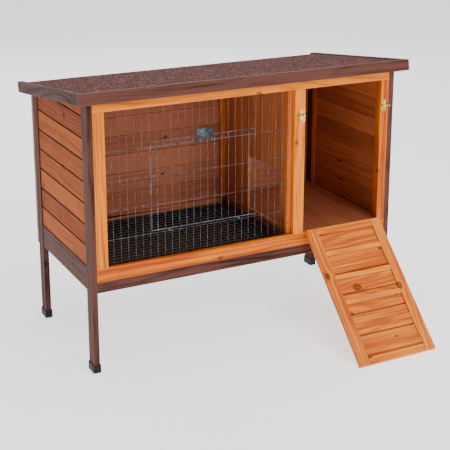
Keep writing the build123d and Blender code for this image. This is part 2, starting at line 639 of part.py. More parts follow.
# ---------------------------------------------------------------- ramp door
RAMP_AXIS_Y = -KNUCKLE_RADIUS
RAMP_AXIS_Z = SILL + 1.0
RAMP_FOOT = 1.0                                     # ramp's hinge edge above the axis, when shut
RAMP_LENGTH = HEAD - RAMP_TOP_GAP - RAMP_AXIS_Z - RAMP_FOOT
RAMP_LEFT = NEST_LEFT + RAMP_GAP
RAMP_RIGHT = NEST_RIGHT - RAMP_GAP
RAMP_TIP = hypot(RAMP_FOOT + RAMP_LENGTH, KNUCKLE_RADIUS)
RAMP_OPEN = 90 + degrees(asin(RAMP_AXIS_Z / RAMP_TIP)) + degrees(atan2(KNUCKLE_RADIUS, RAMP_FOOT + RAMP_LENGTH))


def open_ramp(shape):
    """Turns a piece of the shut ramp door down until its far edge rests on the ground."""
    hinge_line = Pos(0, RAMP_AXIS_Y, RAMP_AXIS_Z)
    return hinge_line * Rot(RAMP_OPEN, 0, 0) * Pos(0, -RAMP_AXIS_Y, -RAMP_AXIS_Z) * shape


RAMP_LOW = RAMP_AXIS_Z + RAMP_FOOT
RAMP_HIGH = RAMP_LOW + RAMP_LENGTH


def ramp_stile(side):
    if side < 0:
        return open_ramp(block(RAMP_LEFT, RAMP_LEFT + RAMP_STILE_WIDTH, 0, RAMP_THICKNESS, RAMP_LOW, RAMP_HIGH))
    return open_ramp(block(RAMP_RIGHT - RAMP_STILE_WIDTH, RAMP_RIGHT, 0, RAMP_THICKNESS, RAMP_LOW, RAMP_HIGH))


def ramp_rails():
    """Cross rails at the hinge end and at the foot of the ramp."""
    x0, x1 = RAMP_LEFT + RAMP_STILE_WIDTH, RAMP_RIGHT - RAMP_STILE_WIDTH
    hinge_end = block(x0, x1, 0, RAMP_THICKNESS, RAMP_LOW, RAMP_LOW + RAMP_RAIL_WIDTH)
    foot_end = block(x0, x1, 0, RAMP_THICKNESS, RAMP_HIGH - RAMP_RAIL_WIDTH, RAMP_HIGH)
    return group([open_ramp(hinge_end), open_ramp(foot_end)])


def ramp_planks():
    """Planks between the stiles, their grooved faces up when the ramp is down."""
    x0, x1 = RAMP_LEFT + RAMP_STILE_WIDTH, RAMP_RIGHT - RAMP_STILE_WIDTH
    start = RAMP_LOW + RAMP_RAIL_WIDTH
    pitch = (RAMP_LENGTH - 2 * RAMP_RAIL_WIDTH) / RAMP_PLANK_COUNT
    planks = []
    for i in range(RAMP_PLANK_COUNT):
        plank = Rot(0, 0, 180) * grooved_plank(x1 - x0, pitch, RAMP_PLANK_THICKNESS)
        planks.append(open_ramp(Pos(x1, RAMP_PLANK_THICKNESS, start + i * pitch) * plank))
    return group(planks)


def ramp_cleats():
    """Cross cleats for grip, level with the stiles."""
    x0, x1 = RAMP_LEFT + RAMP_STILE_WIDTH, RAMP_RIGHT - RAMP_STILE_WIDTH
    start = RAMP_LOW + RAMP_RAIL_WIDTH
    pitch = (RAMP_LENGTH - 2 * RAMP_RAIL_WIDTH) / CLEAT_COUNT
    cleats = []
    for i in range(CLEAT_COUNT):
        middle = start + (i + 0.82) * pitch
        low, high = middle - CLEAT_WIDTH / 2, middle + CLEAT_WIDTH / 2
        cleats.append(open_ramp(block(x0, x1, RAMP_PLANK_THICKNESS, RAMP_THICKNESS, low, high)))
    return group(cleats)


def ramp_hinges():
    """Fixed leaves, moving leaves and pins of the two ramp hinges."""
    places = [RAMP_LEFT + RAMP_HINGE_INSET, RAMP_RIGHT - RAMP_HINGE_INSET]
    fixed = [Pos(x, RAMP_AXIS_Y, RAMP_AXIS_Z) * hinge_leaf(False, FIXED_BORE) for x in places]
    shut = mirror(hinge_leaf(True, MOVING_BORE), Plane.XY)
    moving = [open_ramp(Pos(x, RAMP_AXIS_Y, RAMP_AXIS_Z) * shut) for x in places]
    pins = [Pos(x, RAMP_AXIS_Y, RAMP_AXIS_Z) * hinge_pin() for x in places]
    return group(fixed), group(moving), group(pins)


# ---------------------------------------------------------------- roof
ROOF_HALF = BODY_WIDTH / 2 + SIDE_OVERHANG
DECK_HALF = ROOF_HALF - FASCIA_THICKNESS
FASCIA_TOP = DECK_THICKNESS + FELT_THICKNESS + FASCIA_STAND
FASCIA_BOTTOM = FASCIA_TOP - FASCIA_HEIGHT
DECK_FRONT = -FRONT_OVERHANG + FASCIA_THICKNESS
DECK_REAR = (BODY_DEPTH + DECK_REAR_LAP) / ROOF_COS
FASCIA_REAR = (BODY_DEPTH + REAR_OVERHANG) / ROOF_COS
ROOF_AXIS_Y = WALL_BACK + KNUCKLE_RADIUS
ROOF_AXIS_Z = roof_underside(ROOF_AXIS_Y) - KNUCKLE_RADIUS / ROOF_COS


def roof_deck():
    return on_roof(block(-DECK_HALF, DECK_HALF, DECK_FRONT, DECK_REAR, 0, DECK_THICKNESS))


def roof_felt():
    half = DECK_HALF - FELT_INSET
    return on_roof(block(-half, half, DECK_FRONT + FELT_INSET, DECK_REAR + FELT_INSET,
                         DECK_THICKNESS, DECK_THICKNESS + FELT_THICKNESS))


def front_fascia():
    return on_roof(block(-ROOF_HALF, ROOF_HALF, -FRONT_OVERHANG, DECK_FRONT, FASCIA_BOTTOM, FASCIA_TOP))


def side_fascia(side):
    board = on_roof(block(DECK_HALF, ROOF_HALF, DECK_FRONT, FASCIA_REAR, FASCIA_BOTTOM, FASCIA_TOP))
    return board if side > 0 else mirror(board, Plane.YZ)


def roof_battens():
    """Battens under the roof boards, split so that they pass each side of the partition."""
    left = (-WALL_INNER_X + WALL_BATTEN_THICKNESS + ROOF_BATTEN_END_GAP, BEARER_X - ROOF_BATTEN_END_GAP)
    right = (PARTITION_X + PARTITION_THICKNESS + ROOF_BATTEN_END_GAP,
             WALL_INNER_X - WALL_BATTEN_THICKNESS - ROOF_BATTEN_END_GAP)
    battens = []
    for x0, x1 in (left, right):
        for v in (ROOF_BATTEN_INSET, BODY_DEPTH - ROOF_BATTEN_INSET):
            battens.append(on_roof(block(x0, x1, v, v + BATTEN, -BATTEN, 0)))
    return group(battens)


def roof_hinges():
    """Fixed leaves on the back wall, moving leaves under the roof boards, and pins."""
    places = [-BODY_WIDTH / 2 + ROOF_HINGE_INSET, BODY_WIDTH / 2 - ROOF_HINGE_INSET]
    fixed_leaf = mirror(hinge_leaf(False, FIXED_BORE), Plane.XZ)
    roof_leaf = Rot(-ROOF_ANGLE, 0, 0) * Rot(-90, 0, 0) * mirror(hinge_leaf(True, MOVING_BORE), Plane.XZ)
    fixed = [Pos(x, ROOF_AXIS_Y, ROOF_AXIS_Z) * fixed_leaf for x in places]
    moving = [Pos(x, ROOF_AXIS_Y, ROOF_AXIS_Z) * roof_leaf for x in places]
    pins = [Pos(x, ROOF_AXIS_Y, ROOF_AXIS_Z) * hinge_pin() for x in places]
    return group(fixed), group(moving), group(pins)


def fascia_screws():
    """Countersunk heads along the front fascia board, in pairs over the ends and the middle."""
    screws = []
    for x in (-0.78 * ROOF_HALF, -0.1 * ROOF_HALF, 0.74 * ROOF_HALF):
        for z in (FASCIA_BOTTOM + 9, FASCIA_TOP - 9):
            head = rod_y(x + 0.5 * z, -FRONT_OVERHANG - 0.6, -FRONT_OVERHANG, z, SCREW_HEAD_RADIUS)
            screws.append(on_roof(head))
    return group(screws)


def leg_screws():
    """Screw heads where the rails meet the legs, on the outer faces of both ends."""
    screws = []
    x = BODY_WIDTH / 2
    for y in (LEG_DEPTH / 2, BODY_DEPTH - LEG_DEPTH / 2):
        for z in (BASE_HEIGHT + 18, SILL - 18, HEAD - 60):
            head = rod_x(x, x + 0.8, y, z, SCREW_HEAD_RADIUS)
            screws += [head, mirror(head, Plane.YZ)]
    return group(screws)


# ---------------------------------------------------------------- roof hook
HOOK_V = ROOF_BATTEN_INSET + BATTEN / 2
HOOK_Y = HOOK_V * ROOF_COS - BATTEN * ROOF_FALL * ROOF_COS
BATTEN_UNDER = roof_underside(HOOK_Y) - BATTEN / ROOF_COS
HOOK_PIVOT_Z = BATTEN_UNDER - 3.0 - 2 * SCREW_EYE_RADIUS


def ring(x, y, z, radius, wire, facing_x):
    """A wire ring; it faces along X or along Y."""
    turn = Rot(0, 90, 0) if facing_x else Rot(90, 0, 0)
    return Pos(x, y, z) * turn * Torus(radius, wire)


def hook_eye():
    """Screw eye under the front roof batten."""
    centre = HOOK_PIVOT_Z + SCREW_EYE_RADIUS
    eye = ring(HOOK_X, HOOK_Y, centre, SCREW_EYE_RADIUS, HOOK_WIRE, False)
    return eye + rod_z(HOOK_X, HOOK_Y, centre + SCREW_EYE_RADIUS, BATTEN_UNDER - 0.2, HOOK_WIRE)


def roof_hook():
    """Loose hook that hangs from the screw eye; swung forward it drops into the catch."""
    hook = ring(HOOK_X, HOOK_Y, HOOK_PIVOT_Z, HOOK_EYE_RADIUS, HOOK_WIRE, True)
    low = HOOK_PIVOT_Z - HOOK_LENGTH + HOOK_BEND_RADIUS
    hook += rod_z(HOOK_X, HOOK_Y, low, HOOK_PIVOT_Z - HOOK_EYE_RADIUS, HOOK_WIRE)
    centre_y = HOOK_Y - HOOK_BEND_RADIUS
    bend = ring(HOOK_X, centre_y, low, HOOK_BEND_RADIUS, HOOK_WIRE, True)
    reach = 2 * HOOK_BEND_RADIUS + HOOK_WIRE
    bend = bend & block(HOOK_X - 5, HOOK_X + 5, centre_y - reach, centre_y + reach, low - reach, low)
    hook += bend
    return hook + rod_z(HOOK_X, centre_y - HOOK_BEND_RADIUS, low, low + 4, HOOK_WIRE)


def hook_catch():
    """Screw eye in the back of the head rail."""
    y = FRAME_THICKNESS + 3.0 + SCREW_EYE_RADIUS
    eye = ring(HOOK_X, y, HEAD + 12, SCREW_EYE_RADIUS, HOOK_WIRE, True)
    return eye + rod_y(HOOK_X, FRAME_THICKNESS, y - SCREW_EYE_RADIUS, HEAD + 12, HOOK_WIRE)


# ---------------------------------------------------------------- assembly
TOP_RAIL_TOP = roof_underside(BODY_DEPTH) - WALL_TO_ROOF_GAP / ROOF_COS
ramp_fixed_leaves, ramp_moving_leaves, ramp_pins = ramp_hinges()
roof_fixed_leaves, roof_moving_leaves, roof_pins = roof_hinges()
REAR_LEG_Y = BODY_DEPTH - LEG_DEPTH

NODES = {
    "leg_front_left": leg(-1, 0),
    "leg_front_right": leg(1, 0),
    "leg_rear_left": leg(-1, REAR_LEG_Y),
    "leg_rear_right": leg(1, REAR_LEG_Y),
    "foot_caps": group([foot_cap(side, y) for side in (-1, 1) for y in (0, REAR_LEG_Y)]),
    "side_rail_left": side_rail(-1),
    "side_rail_right": side_rail(1),
    "front_lower_rail": block(-INNER_X, INNER_X, 0, FRONT_RAIL_THICKNESS, BASE_HEIGHT,
                              BASE_HEIGHT + FRONT_RAIL_HEIGHT),
    "sill_rail": block(-INNER_X, INNER_X, 0, FRAME_THICKNESS, SILL - SILL_RAIL_HEIGHT, SILL),
    "head_rail": block(-INNER_X, INNER_X, 0, FRAME_THICKNESS, HEAD, HEAD_TOP),
    "left_stile": block(-INNER_X, RUN_LEFT, 0, FRAME_THICKNESS, SILL, HEAD),
    "middle_stile": block(RUN_RIGHT, NEST_LEFT, 0, FRAME_THICKNESS, SILL, HEAD),
    "right_stile": block(NEST_RIGHT, INNER_X, 0, FRAME_THICKNESS, SILL, HEAD),
    "left_wall_planks": side_wall(-1),
    "right_wall_planks": side_wall(1),
    "side_wall_battens": side_wall_battens(),
    "back_wall_planks": back_wall(),
    "rear_top_rail": below_roof(block(-INNER_X, INNER_X, BODY_DEPTH - BATTEN, BODY_DEPTH,
                                      TOP_RAIL_TOP - TOP_RAIL_HEIGHT, TOP_RAIL_TOP)
                                - block(BEARER_X, PARTITION_X + PARTITION_THICKNESS, 0, 2 * BODY_DEPTH,
                                        0, SIZE)),
    "leg_screws": leg_screws(),
    "floor_ledgers": floor_ledgers(),
    "centre_bearer": block(BEARER_X, BEARER_X + BEARER_WIDTH, LEDGER_BACK, REAR_LEDGER_FRONT,
                           BASE_HEIGHT, LEDGER_TOP),
    "mesh_floor": mesh_floor(),
    "nest_floor": nest_floor(),
    "partition": partition(),
    "partition_battens": partition_battens(),
    "pan_runners": pan_runners(),
    "waste_pan": waste_pan(),
    "wire_panel": wire_panel(),
    "panel_staples": panel_staples(),
    "door_hinge_clips": door_clips(),
    "wire_door": wire_door(),
    "latch_keepers": latch_keepers(),
    "door_latch": door_latch(),
    "left_latch_plate": turn_latch_plate(LEFT_PIVOT_X, -1),
    "left_latch_lever": turn_latch_lever(LEFT_PIVOT_X, -1),
    "right_latch_plate": turn_latch_plate(RIGHT_PIVOT_X, 1),
    "right_latch_lever": turn_latch_lever(RIGHT_PIVOT_X, 1),
    "latch_screws": latch_screws(),
    "ramp_stile_left": ramp_stile(-1),
    "ramp_stile_right": ramp_stile(1),
    "ramp_rails": ramp_rails(),
    "ramp_planks": ramp_planks(),
    "ramp_cleats": ramp_cleats(),
    "ramp_hinge_fixed_leaves": ramp_fixed_leaves,
    "ramp_hinge_moving_leaves": ramp_moving_leaves,
    "ramp_hinge_pins": ramp_pins,
    "roof_deck": roof_deck(),
    "roof_felt": roof_felt(),
    "front_fascia": front_fascia(),
    "side_fascia_left": side_fascia(-1),
    "side_fascia_right": side_fascia(1),
    "roof_battens": roof_battens(),
    "roof_hinge_fixed_leaves": roof_fixed_leaves,
    "roof_hinge_moving_leaves": roof_moving_leaves,
    "roof_hinge_pins": roof_pins,
    "fascia_screws": fascia_screws(),
    "roof_hook_eye": hook_eye(),
    "roof_hook": roof_hook(),
    "hook_catch_eye": hook_catch(),
}

# the origin goes under the middle of the whole hutch, from the ramp's foot to the roof's back edge
front_edge = min(shape.bounding_box().min.Y for shape in NODES.values())
back_edge = max(shape.bounding_box().max.Y for shape in NODES.values())
Y_SHIFT = -(front_edge + back_edge) / 2

for name, shape in NODES.items():
    export_step(Pos(0, Y_SHIFT, 0) * shape, f"parts/{name}.step")

print("nodes", len(NODES))
print("ramp opens", round(RAMP_OPEN, 3), "degrees; shift of y", round(Y_SHIFT, 3))
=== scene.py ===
# %% [markdown]
# # A rabbit hutch on four legs
# The hutch arrives as plain CAD solids: posts, rails, planks, wires and fittings, each in
# its place and each riding on the body that moves it. This lesson dresses those solids.
# Boards get rounded edges and grain that runs along each one, wire grilles become round
# wires, and every fitting gets a metal or plastic of its own. All lengths are in metres.

# %% Load the hutch
import json
import math
import random

import bmesh
import bpy
from mathutils import Matrix, Vector

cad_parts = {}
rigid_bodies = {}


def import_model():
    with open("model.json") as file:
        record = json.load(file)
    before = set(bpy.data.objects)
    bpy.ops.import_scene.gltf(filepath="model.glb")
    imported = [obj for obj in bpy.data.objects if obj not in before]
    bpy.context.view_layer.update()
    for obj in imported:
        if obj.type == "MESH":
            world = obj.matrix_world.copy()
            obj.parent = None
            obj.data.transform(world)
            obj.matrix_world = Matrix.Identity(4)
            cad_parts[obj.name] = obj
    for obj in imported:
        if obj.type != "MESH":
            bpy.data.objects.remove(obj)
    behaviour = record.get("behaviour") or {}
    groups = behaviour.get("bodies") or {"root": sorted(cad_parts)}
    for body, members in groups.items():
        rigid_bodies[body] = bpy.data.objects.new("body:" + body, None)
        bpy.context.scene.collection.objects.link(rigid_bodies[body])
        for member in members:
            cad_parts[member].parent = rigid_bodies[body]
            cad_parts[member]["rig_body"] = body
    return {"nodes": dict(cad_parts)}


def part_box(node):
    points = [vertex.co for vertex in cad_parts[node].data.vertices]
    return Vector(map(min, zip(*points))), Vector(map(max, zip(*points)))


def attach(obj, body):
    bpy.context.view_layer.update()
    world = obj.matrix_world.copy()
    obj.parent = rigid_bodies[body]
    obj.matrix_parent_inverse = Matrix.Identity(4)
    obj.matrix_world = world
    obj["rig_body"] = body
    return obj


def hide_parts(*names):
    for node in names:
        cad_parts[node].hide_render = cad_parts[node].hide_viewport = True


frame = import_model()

nodes = frame["nodes"]
slots = {node: nodes[node].data.materials[0].name.split(".")[0] for node in nodes}
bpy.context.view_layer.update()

# %% [markdown]
# ## The camera
# The hutch is seen from its front left, a little above the roof, with a long lens, so its
# posts stay almost upright. A tilted camera makes posts lean towards each other. Sliding
# the lens downwards, as `shift_y` does, frames the legs with less tilt.

# %% Place the camera
CAMERA_PLACE = (-1.6267, -3.0708, 1.6072)
CAMERA_TURN = math.radians(27.34)
CAMERA_DIP = math.radians(15.286)
LENS = 87.17
LENS_SLIDE = -0.18

camera = bpy.data.objects.new("camera", bpy.data.cameras.new("camera"))
bpy.context.scene.collection.objects.link(camera)
bpy.context.scene.camera = camera
camera.location = CAMERA_PLACE
camera.rotation_euler = (math.pi / 2 - CAMERA_DIP, 0, -CAMERA_TURN)
camera.data.sensor_width = 36
camera.data.lens = LENS
camera.data.shift_y = LENS_SLIDE
camera.data.clip_end = 200
print("camera", round(Vector(CAMERA_PLACE).length, 2), "m from the hutch")

# %% [markdown]
# ## The studio
# Large area lights give soft shadows, as a studio's softboxes do. One bright box stands high
# in front, two weak ones fill from the sides, one hangs overhead for the roof and two stand
# behind, so that the hutch reads from every side. A pale sky fills the rest.

# %% Light the studio
MIDDLE = Vector((0, 0.1, 0.5))
# each softbox's place, the length of its side in metres and its power in watts
SOFTBOXES = {
    "front_box": ((0.7, -4.3, 3.6), 2.4, 150),
    "right_box": ((3.8, -2.0, 2.2), 2.4, 26),
    "left_box": ((-4.2, -2.2, 2.8), 2.4, 6),
    "top_box": ((0, -0.4, 4.6), 3.0, 90),
    "rear_box_left": ((-0.8, 4.8, 2.8), 2.6, 60),
    "rear_box_right": ((2.2, 4.4, 2.6), 2.6, 50),
}
SKY_STRENGTH = 0.4


def softbox(name, place, side, power):
    lamp = bpy.data.lights.new(name, "AREA")
    lamp.shape = "SQUARE"
    lamp.size = side
    lamp.energy = power
    box = bpy.data.objects.new(name, lamp)
    box.location = place
    box.rotation_euler = (MIDDLE - Vector(place)).to_track_quat("-Z", "Y").to_euler()
    bpy.context.scene.collection.objects.link(box)


for name, (place, side, power) in SOFTBOXES.items():
    softbox(name, place, side, power)

sky = bpy.data.worlds.new("sky")
sky.use_nodes = True
backlight = next(n for n in sky.node_tree.nodes if n.type == "BACKGROUND")
backlight.inputs["Color"].default_value = (0.93, 0.95, 1.0, 1)
backlight.inputs["Strength"].default_value = SKY_STRENGTH
bpy.context.scene.world = sky
print("lit with", len(SOFTBOXES), "softboxes")

# %% [markdown]
# ## Writing a material as sums
# A finish is a web of nodes, but most of it is arithmetic. `Value` wraps one output of a
# node, so `1 - mask * 0.5` adds the Math nodes by itself. Anything that isn't arithmetic
# comes from one method, `Finish.node`, which is given the node's type, its settings and
# what goes into its sockets. Colours go through `Finish.mix`, because a Math node would
# turn them grey.

# %% A value that can be summed
class Value:
    """One output of a node; arithmetic on it adds Math nodes."""

    def __init__(self, finish, socket):
        self.finish = finish
        self.socket = socket

    def maths(self, operation, *inputs):
        return self.finish.node("Math", {"operation": operation}, inputs)

    def __add__(self, other):
        return self.maths("ADD", self, other)

    def __sub__(self, other):
        return self.maths("SUBTRACT", self, other)

    def __rsub__(self, other):
        return self.maths("SUBTRACT", other, self)

    def __mul__(self, other):
        return self.maths("MULTIPLY", self, other)

    def __truediv__(self, other):
        return self.maths("DIVIDE", self, other)

    def __pow__(self, power):
        return self.maths("POWER", self, power)

    __radd__ = __add__
    __rmul__ = __mul__

    def between(self, start, end):
        """0 up to start, 1 from end, and a smooth climb in the middle."""
        return self.finish.node("MapRange", {"interpolation_type": "SMOOTHSTEP"}, (self, start, end))


print("sums that a value takes part in: + - * / **")

# %% [markdown]
# A material can be drawn by hand in the node editor, but then it can't be repeated. `Finish`
# keeps one material's nodes together. Every finish in this lesson ends in `surface`, which
# feeds the shader's own sockets and turns a height into a bump.

# %% A finish and its one method for nodes
class Finish:
    def __init__(self, name):
        self.material = bpy.data.materials.new(name)
        self.material.use_nodes = True
        self.tree = self.material.node_tree
        self.shader = next(n for n in self.tree.nodes if n.type == "BSDF_PRINCIPLED")

    def feed(self, socket, value):
        if isinstance(value, Value):
            self.tree.links.new(value.socket, socket)
        else:
            socket.default_value = value

    def node(self, kind, settings=None, inputs=(), output=0):
        made = self.tree.nodes.new("ShaderNode" + kind)
        for key, value in (settings or {}).items():
            if key == "stops":
                ramp = made.color_ramp.elements
                while len(ramp) < len(value):
                    ramp.new(0.5)
                for stop, (place, colour) in zip(ramp, value):
                    stop.position = place
                    stop.color = colour
            else:
                setattr(made, key, value)
        pairs = inputs.items() if isinstance(inputs, dict) else enumerate(inputs)
        for key, value in pairs:
            self.feed(made.inputs[key], value)
        return Value(self, made.outputs[output])

    def mix(self, share, first, second):
        """The second colour laid over the first; on this node, colours are sockets 6 and 7."""
        return self.node("Mix", {"data_type": "RGBA"}, {0: share, 6: first, 7: second}, output=2)

    def noise(self, place, scale, detail=2.0, roughness=0.5):
        inputs = {"Vector": place, "Scale": scale, "Detail": detail, "Roughness": roughness}
        return self.node("TexNoise", {}, inputs)

    def stretched(self, axes, scales):
        """The grain's three directions, each with its own scale."""
        return self.node("CombineXYZ", {}, [axis * scale for axis, scale in zip(axes, scales)])

    def surface(self, sockets, height=None, depth=0.0):
        for name, value in sockets.items():
            self.feed(self.shader.inputs[name], value)
        if height is not None:
            bump = self.node("Bump", {}, {"Height": height, "Distance": depth})
            self.feed(self.shader.inputs["Normal"], bump)
        return self.material


def tint(red, green, blue):
    """A colour by its screen numbers, from 0 to 255, as the light a shader works in."""
    shares = [number / 255 for number in (red, green, blue)]
    light = [((c + 0.055) / 1.055) ** 2.4 if c > 10 / 255 else c / 12.92 for c in shares]
    return (*light, 1.0)


print("a test tint:", [round(c, 3) for c in tint(235, 155, 80)])

# %% [markdown]
# ## The floor
# A plain pale floor carries the soft shadow and throws light back under the hutch. It is
# one large sheet, so no edge shows from a low camera. A little noise in its roughness
# keeps it from looking like a sheet of plastic.

# %% Lay the floor
FLOOR = 60
FLOOR_DROP = 0.0002
floor_finish = Finish("pale_floor")
floor_place = floor_finish.node("TexCoord", {}, output="Object")
floor_noise = floor_finish.noise(floor_place, 6.0, 3.0)
floor_finish.surface({"Base Color": (0.88, 0.88, 0.875, 1), "Roughness": floor_noise * 0.2 + 0.6,
                      "Emission Color": (1, 1, 1, 1), "Emission Strength": 1.15})
floor_mesh = bpy.data.meshes.new("floor")
corners = [(-FLOOR, -FLOOR, 0), (FLOOR, -FLOOR, 0), (FLOOR, FLOOR, 0), (-FLOOR, FLOOR, 0)]
floor_mesh.from_pydata(corners, [], [(0, 1, 2, 3)])
floor_mesh.materials.append(floor_finish.material)
floor = bpy.data.objects.new("floor", floor_mesh)
floor.location.z = -FLOOR_DROP
bpy.context.scene.collection.objects.link(floor)
print("floor", 2 * FLOOR, "m across")

# %% [markdown]
# ## Wood
# Sawn softwood shows four things: growth lines, which are the contours of the tree's rings
# where the saw crossed them; fine fibres; broad streaks where the stain went in more or
# less; and knots, with the lines flowing round them. A picture of wood would repeat from
# board to board, so the pattern is worked out in the shader instead. Each board carries
# three numbers at every point, `grain`, which say how far along, across and through the
# board the point is, and one number, `tone`, which makes boards differ. `edge` is 1 on
# the rounded edges, where stain and varnish wear thin. Most boards get a paler tint there,
# that wear together with a painted highlight; the plank walls, the back wall and the ramp
# get a dark tint there instead, painted shade in the joints.

# %% Knots, and how far they push the lines
KNOT_ROOM = (0.30, 0.062)


def knots(wood, along, across, share, size):
    """(1 inside a knot, 1 on its dark rim, how far the lines are pushed aside)."""
    cell = {"Vector": wood.node("CombineXYZ", {}, (along / KNOT_ROOM[0], across / KNOT_ROOM[1], 0)),
            "Scale": 1.0, "Randomness": 0.8}
    middle, chance = [wood.node("TexVoronoi", {"voronoi_dimensions": "2D"}, cell, output)
                      for output in ("Position", "Color")]
    luck, growth = [wood.node("SeparateColor", {}, (chance,), part) for part in ("Red", "Green")]
    there = luck.maths("LESS_THAN", luck, share)
    radius = growth * size + size * 0.45
    gap_along = along - wood.node("SeparateXYZ", {}, (middle,), "X") * KNOT_ROOM[0]
    gap_across = across - wood.node("SeparateXYZ", {}, (middle,), "Y") * KNOT_ROOM[1]
    gap = ((gap_along * 0.72) ** 2 + gap_across ** 2) ** 0.5 / radius
    inside = gap.between(1.1, 0.75) * there
    rim = gap.between(1.5, 1.0) * gap.between(0.55, 0.95) * there
    push = gap_across * gap.between(3.6, 0.8) * there * 0.8
    return inside, rim, push


print("room for one knot:", KNOT_ROOM, "m")

# %% [markdown]
# One recipe serves every wood, because the timber is the same and only its stain differs.
# Each layer of the pattern is a noise stretched along the board: contours bend the growth
# lines, fibres are very fine, and streaks and blotches are where the stain took unevenly.
# The recipe blends a pale and a deep tint by their sum, and then lays the knots on top.

# %% One wood, many stains
# how many waves to the metre each pattern has, along, across and through a board
CONTOURS = (1.1, 8.5, 8.5)
SWAYS = (7.0, 30.0, 30.0)
FIBRES = (16.0, 620.0, 620.0)
STREAKS = (2.2, 60.0, 60.0)
BLOTCHES = (5.0, 9.0, 9.0)
RINGS = 52.0
TURN = 6.2832
GRAIN_DEPTH = 0.00045


def wood(name, pale, deep, knot, share=0.3, size=0.006, lines=0.5, streaks=0.5, rough=0.42,
         edge_wear_and_light=0.25, joint_shade=None, shine=0.16):
    w = Finish(name)
    grain = w.node("Attribute", {"attribute_name": "grain"}, output="Vector")
    axes = [w.node("SeparateXYZ", {}, (grain,), axis) for axis in "XYZ"]
    tone = w.node("Attribute", {"attribute_name": "tone"}, output="Fac")
    edge = w.node("Attribute", {"attribute_name": "edge"}, output="Fac")
    inside, rim, push = knots(w, axes[0], axes[1], share, size)
    flow = [axes[0], axes[1] - push, axes[2]]
    contour = w.noise(w.stretched(flow, CONTOURS), 1.0, 1.0)
    sway = w.noise(w.stretched(flow, SWAYS), 1.0, 2.0)
    rings = (contour * 11.0 + flow[1] * RINGS + sway * 0.9) * TURN
    late = (rings.maths("SINE", rings) * 0.5 + 0.5) ** 2.2
    fibre = w.noise(w.stretched(flow, FIBRES), 1.0, 3.0, 0.62)
    streak = w.noise(w.stretched(flow, STREAKS), 1.0, 3.0, 0.6)
    blotch = w.noise(w.stretched(flow, BLOTCHES), 1.0, 2.0)
    depth = (streak - 0.5) * 1.7 * streaks + late * lines * 0.42 + (fibre - 0.5) * 0.55
    depth = depth + (blotch - 0.5) * 0.5 + (tone - 0.5) * 0.62 + 0.32
    colour = w.mix(depth.between(-0.1, 1.05), pale, deep)
    colour = w.mix(inside * 0.62, colour, knot)
    colour = w.mix(rim * 0.75, colour, knot)
    # paler edge tint: wear together with a painted highlight on the eased edges
    worn = [min(1, c * 1.9) for c in pale[:3]] + [1]
    # where `joint_shade` is given, a dark tint takes the paler one's place: painted shade in the joints
    # between boards
    colour = w.mix(edge * edge_wear_and_light * (fibre * 0.8 + 0.6), colour, joint_shade or worn)
    roughness = rough + (fibre - 0.5) * 0.3 + late * 0.05 + inside * 0.08
    height = fibre * 0.6 + late * 0.5 - inside * 0.5
    return w.surface({"Base Color": colour, "Roughness": roughness, "Specular IOR Level": shine},
                     height, GRAIN_DEPTH)


print("fibres to the metre:", FIBRES[1])

# %% [markdown]
# The hutch's own woods: posts, rails and fascias in dark brown stain; the front frame in
# honey-coloured softwood; walls of chestnut-stained boards, paler on the right and at the
# back; a ramp with bolder grain and more knots than the frame; and plywood for the nest's
# floor and the partition, with long quiet grain and few knots. The nest's floor gets a
# darker copy of the plywood's tints, which is painted shade for the dim nest under the
# roof. `FINISH_OF` names the nodes whose tint differs from the rest of their slot.

# %% Mix the stains
WOODS = {
    "dark_stained_wood": wood("dark_stain", tint(100, 62, 53), tint(37, 20, 17), tint(26, 13, 10),
                              share=0.12, lines=0.7, streaks=1.2, rough=0.5, edge_wear_and_light=0.5, shine=0.06),
    "honey_frame_wood": wood("honey_wood", tint(250, 139, 22), tint(170, 64, 5), tint(86, 32, 10),
                             share=0.3, size=0.005, lines=0.75, streaks=0.95),
    "inner_battens": wood("batten_wood", tint(214, 112, 40), tint(146, 62, 18), tint(70, 28, 10),
                          share=0.15, size=0.004, streaks=0.6),
    # the dark `joint_shade` tints of these plank walls and the ramp are painted shade in the joints
    "chestnut_planks": wood("chestnut_boards", tint(184, 92, 34), tint(112, 46, 16), tint(56, 22, 10),
                            share=0.3, lines=0.4, streaks=0.5, rough=0.55, shine=0.05, edge_wear_and_light=0.9,
                            joint_shade=tint(44, 18, 9)),
    "back_wall": wood("back_boards", tint(196, 122, 88), tint(138, 77, 53), tint(64, 30, 17),
                      share=0.1, lines=0.3, streaks=0.4, rough=0.5, edge_wear_and_light=0.45, joint_shade=tint(84, 42, 26)),
    "ramp_wood": wood("ramp_boards", tint(255, 154, 54), tint(194, 86, 26), tint(70, 26, 10),
                      share=0.75, size=0.0068, lines=0.9, streaks=0.95, edge_wear_and_light=0.45, shine=0.12,
                      joint_shade=tint(86, 36, 14)),
    "plywood": wood("plywood_sheet", tint(216, 132, 76), tint(150, 84, 46), tint(104, 48, 22),
                    share=0.05, lines=0.5, streaks=0.7, rough=0.5),
    "right_wall": wood("right_boards", tint(196, 114, 70), tint(138, 72, 42), tint(56, 22, 10),
                       share=0.3, lines=0.4, streaks=0.5, rough=0.55, shine=0.05, edge_wear_and_light=0.9,
                       joint_shade=tint(44, 18, 9)),
    # painted shade: the nest's floor is the partition's plywood, given darker tints for the dim nest
    "nest_floor": wood("floor_sheet", tint(158, 92, 62), tint(108, 57, 40), tint(70, 30, 16),
                       share=0.05, lines=0.4, streaks=0.5, rough=0.5),
}
FINISH_OF = {"back_wall_planks": "back_wall", "right_wall_planks": "right_wall",
             "nest_floor": "nest_floor", "floor_ledgers": "back_wall",
             "partition_battens": "inner_battens", "side_wall_battens": "inner_battens",
             "roof_battens": "inner_battens"}
print("stains:", ", ".join(WOODS))

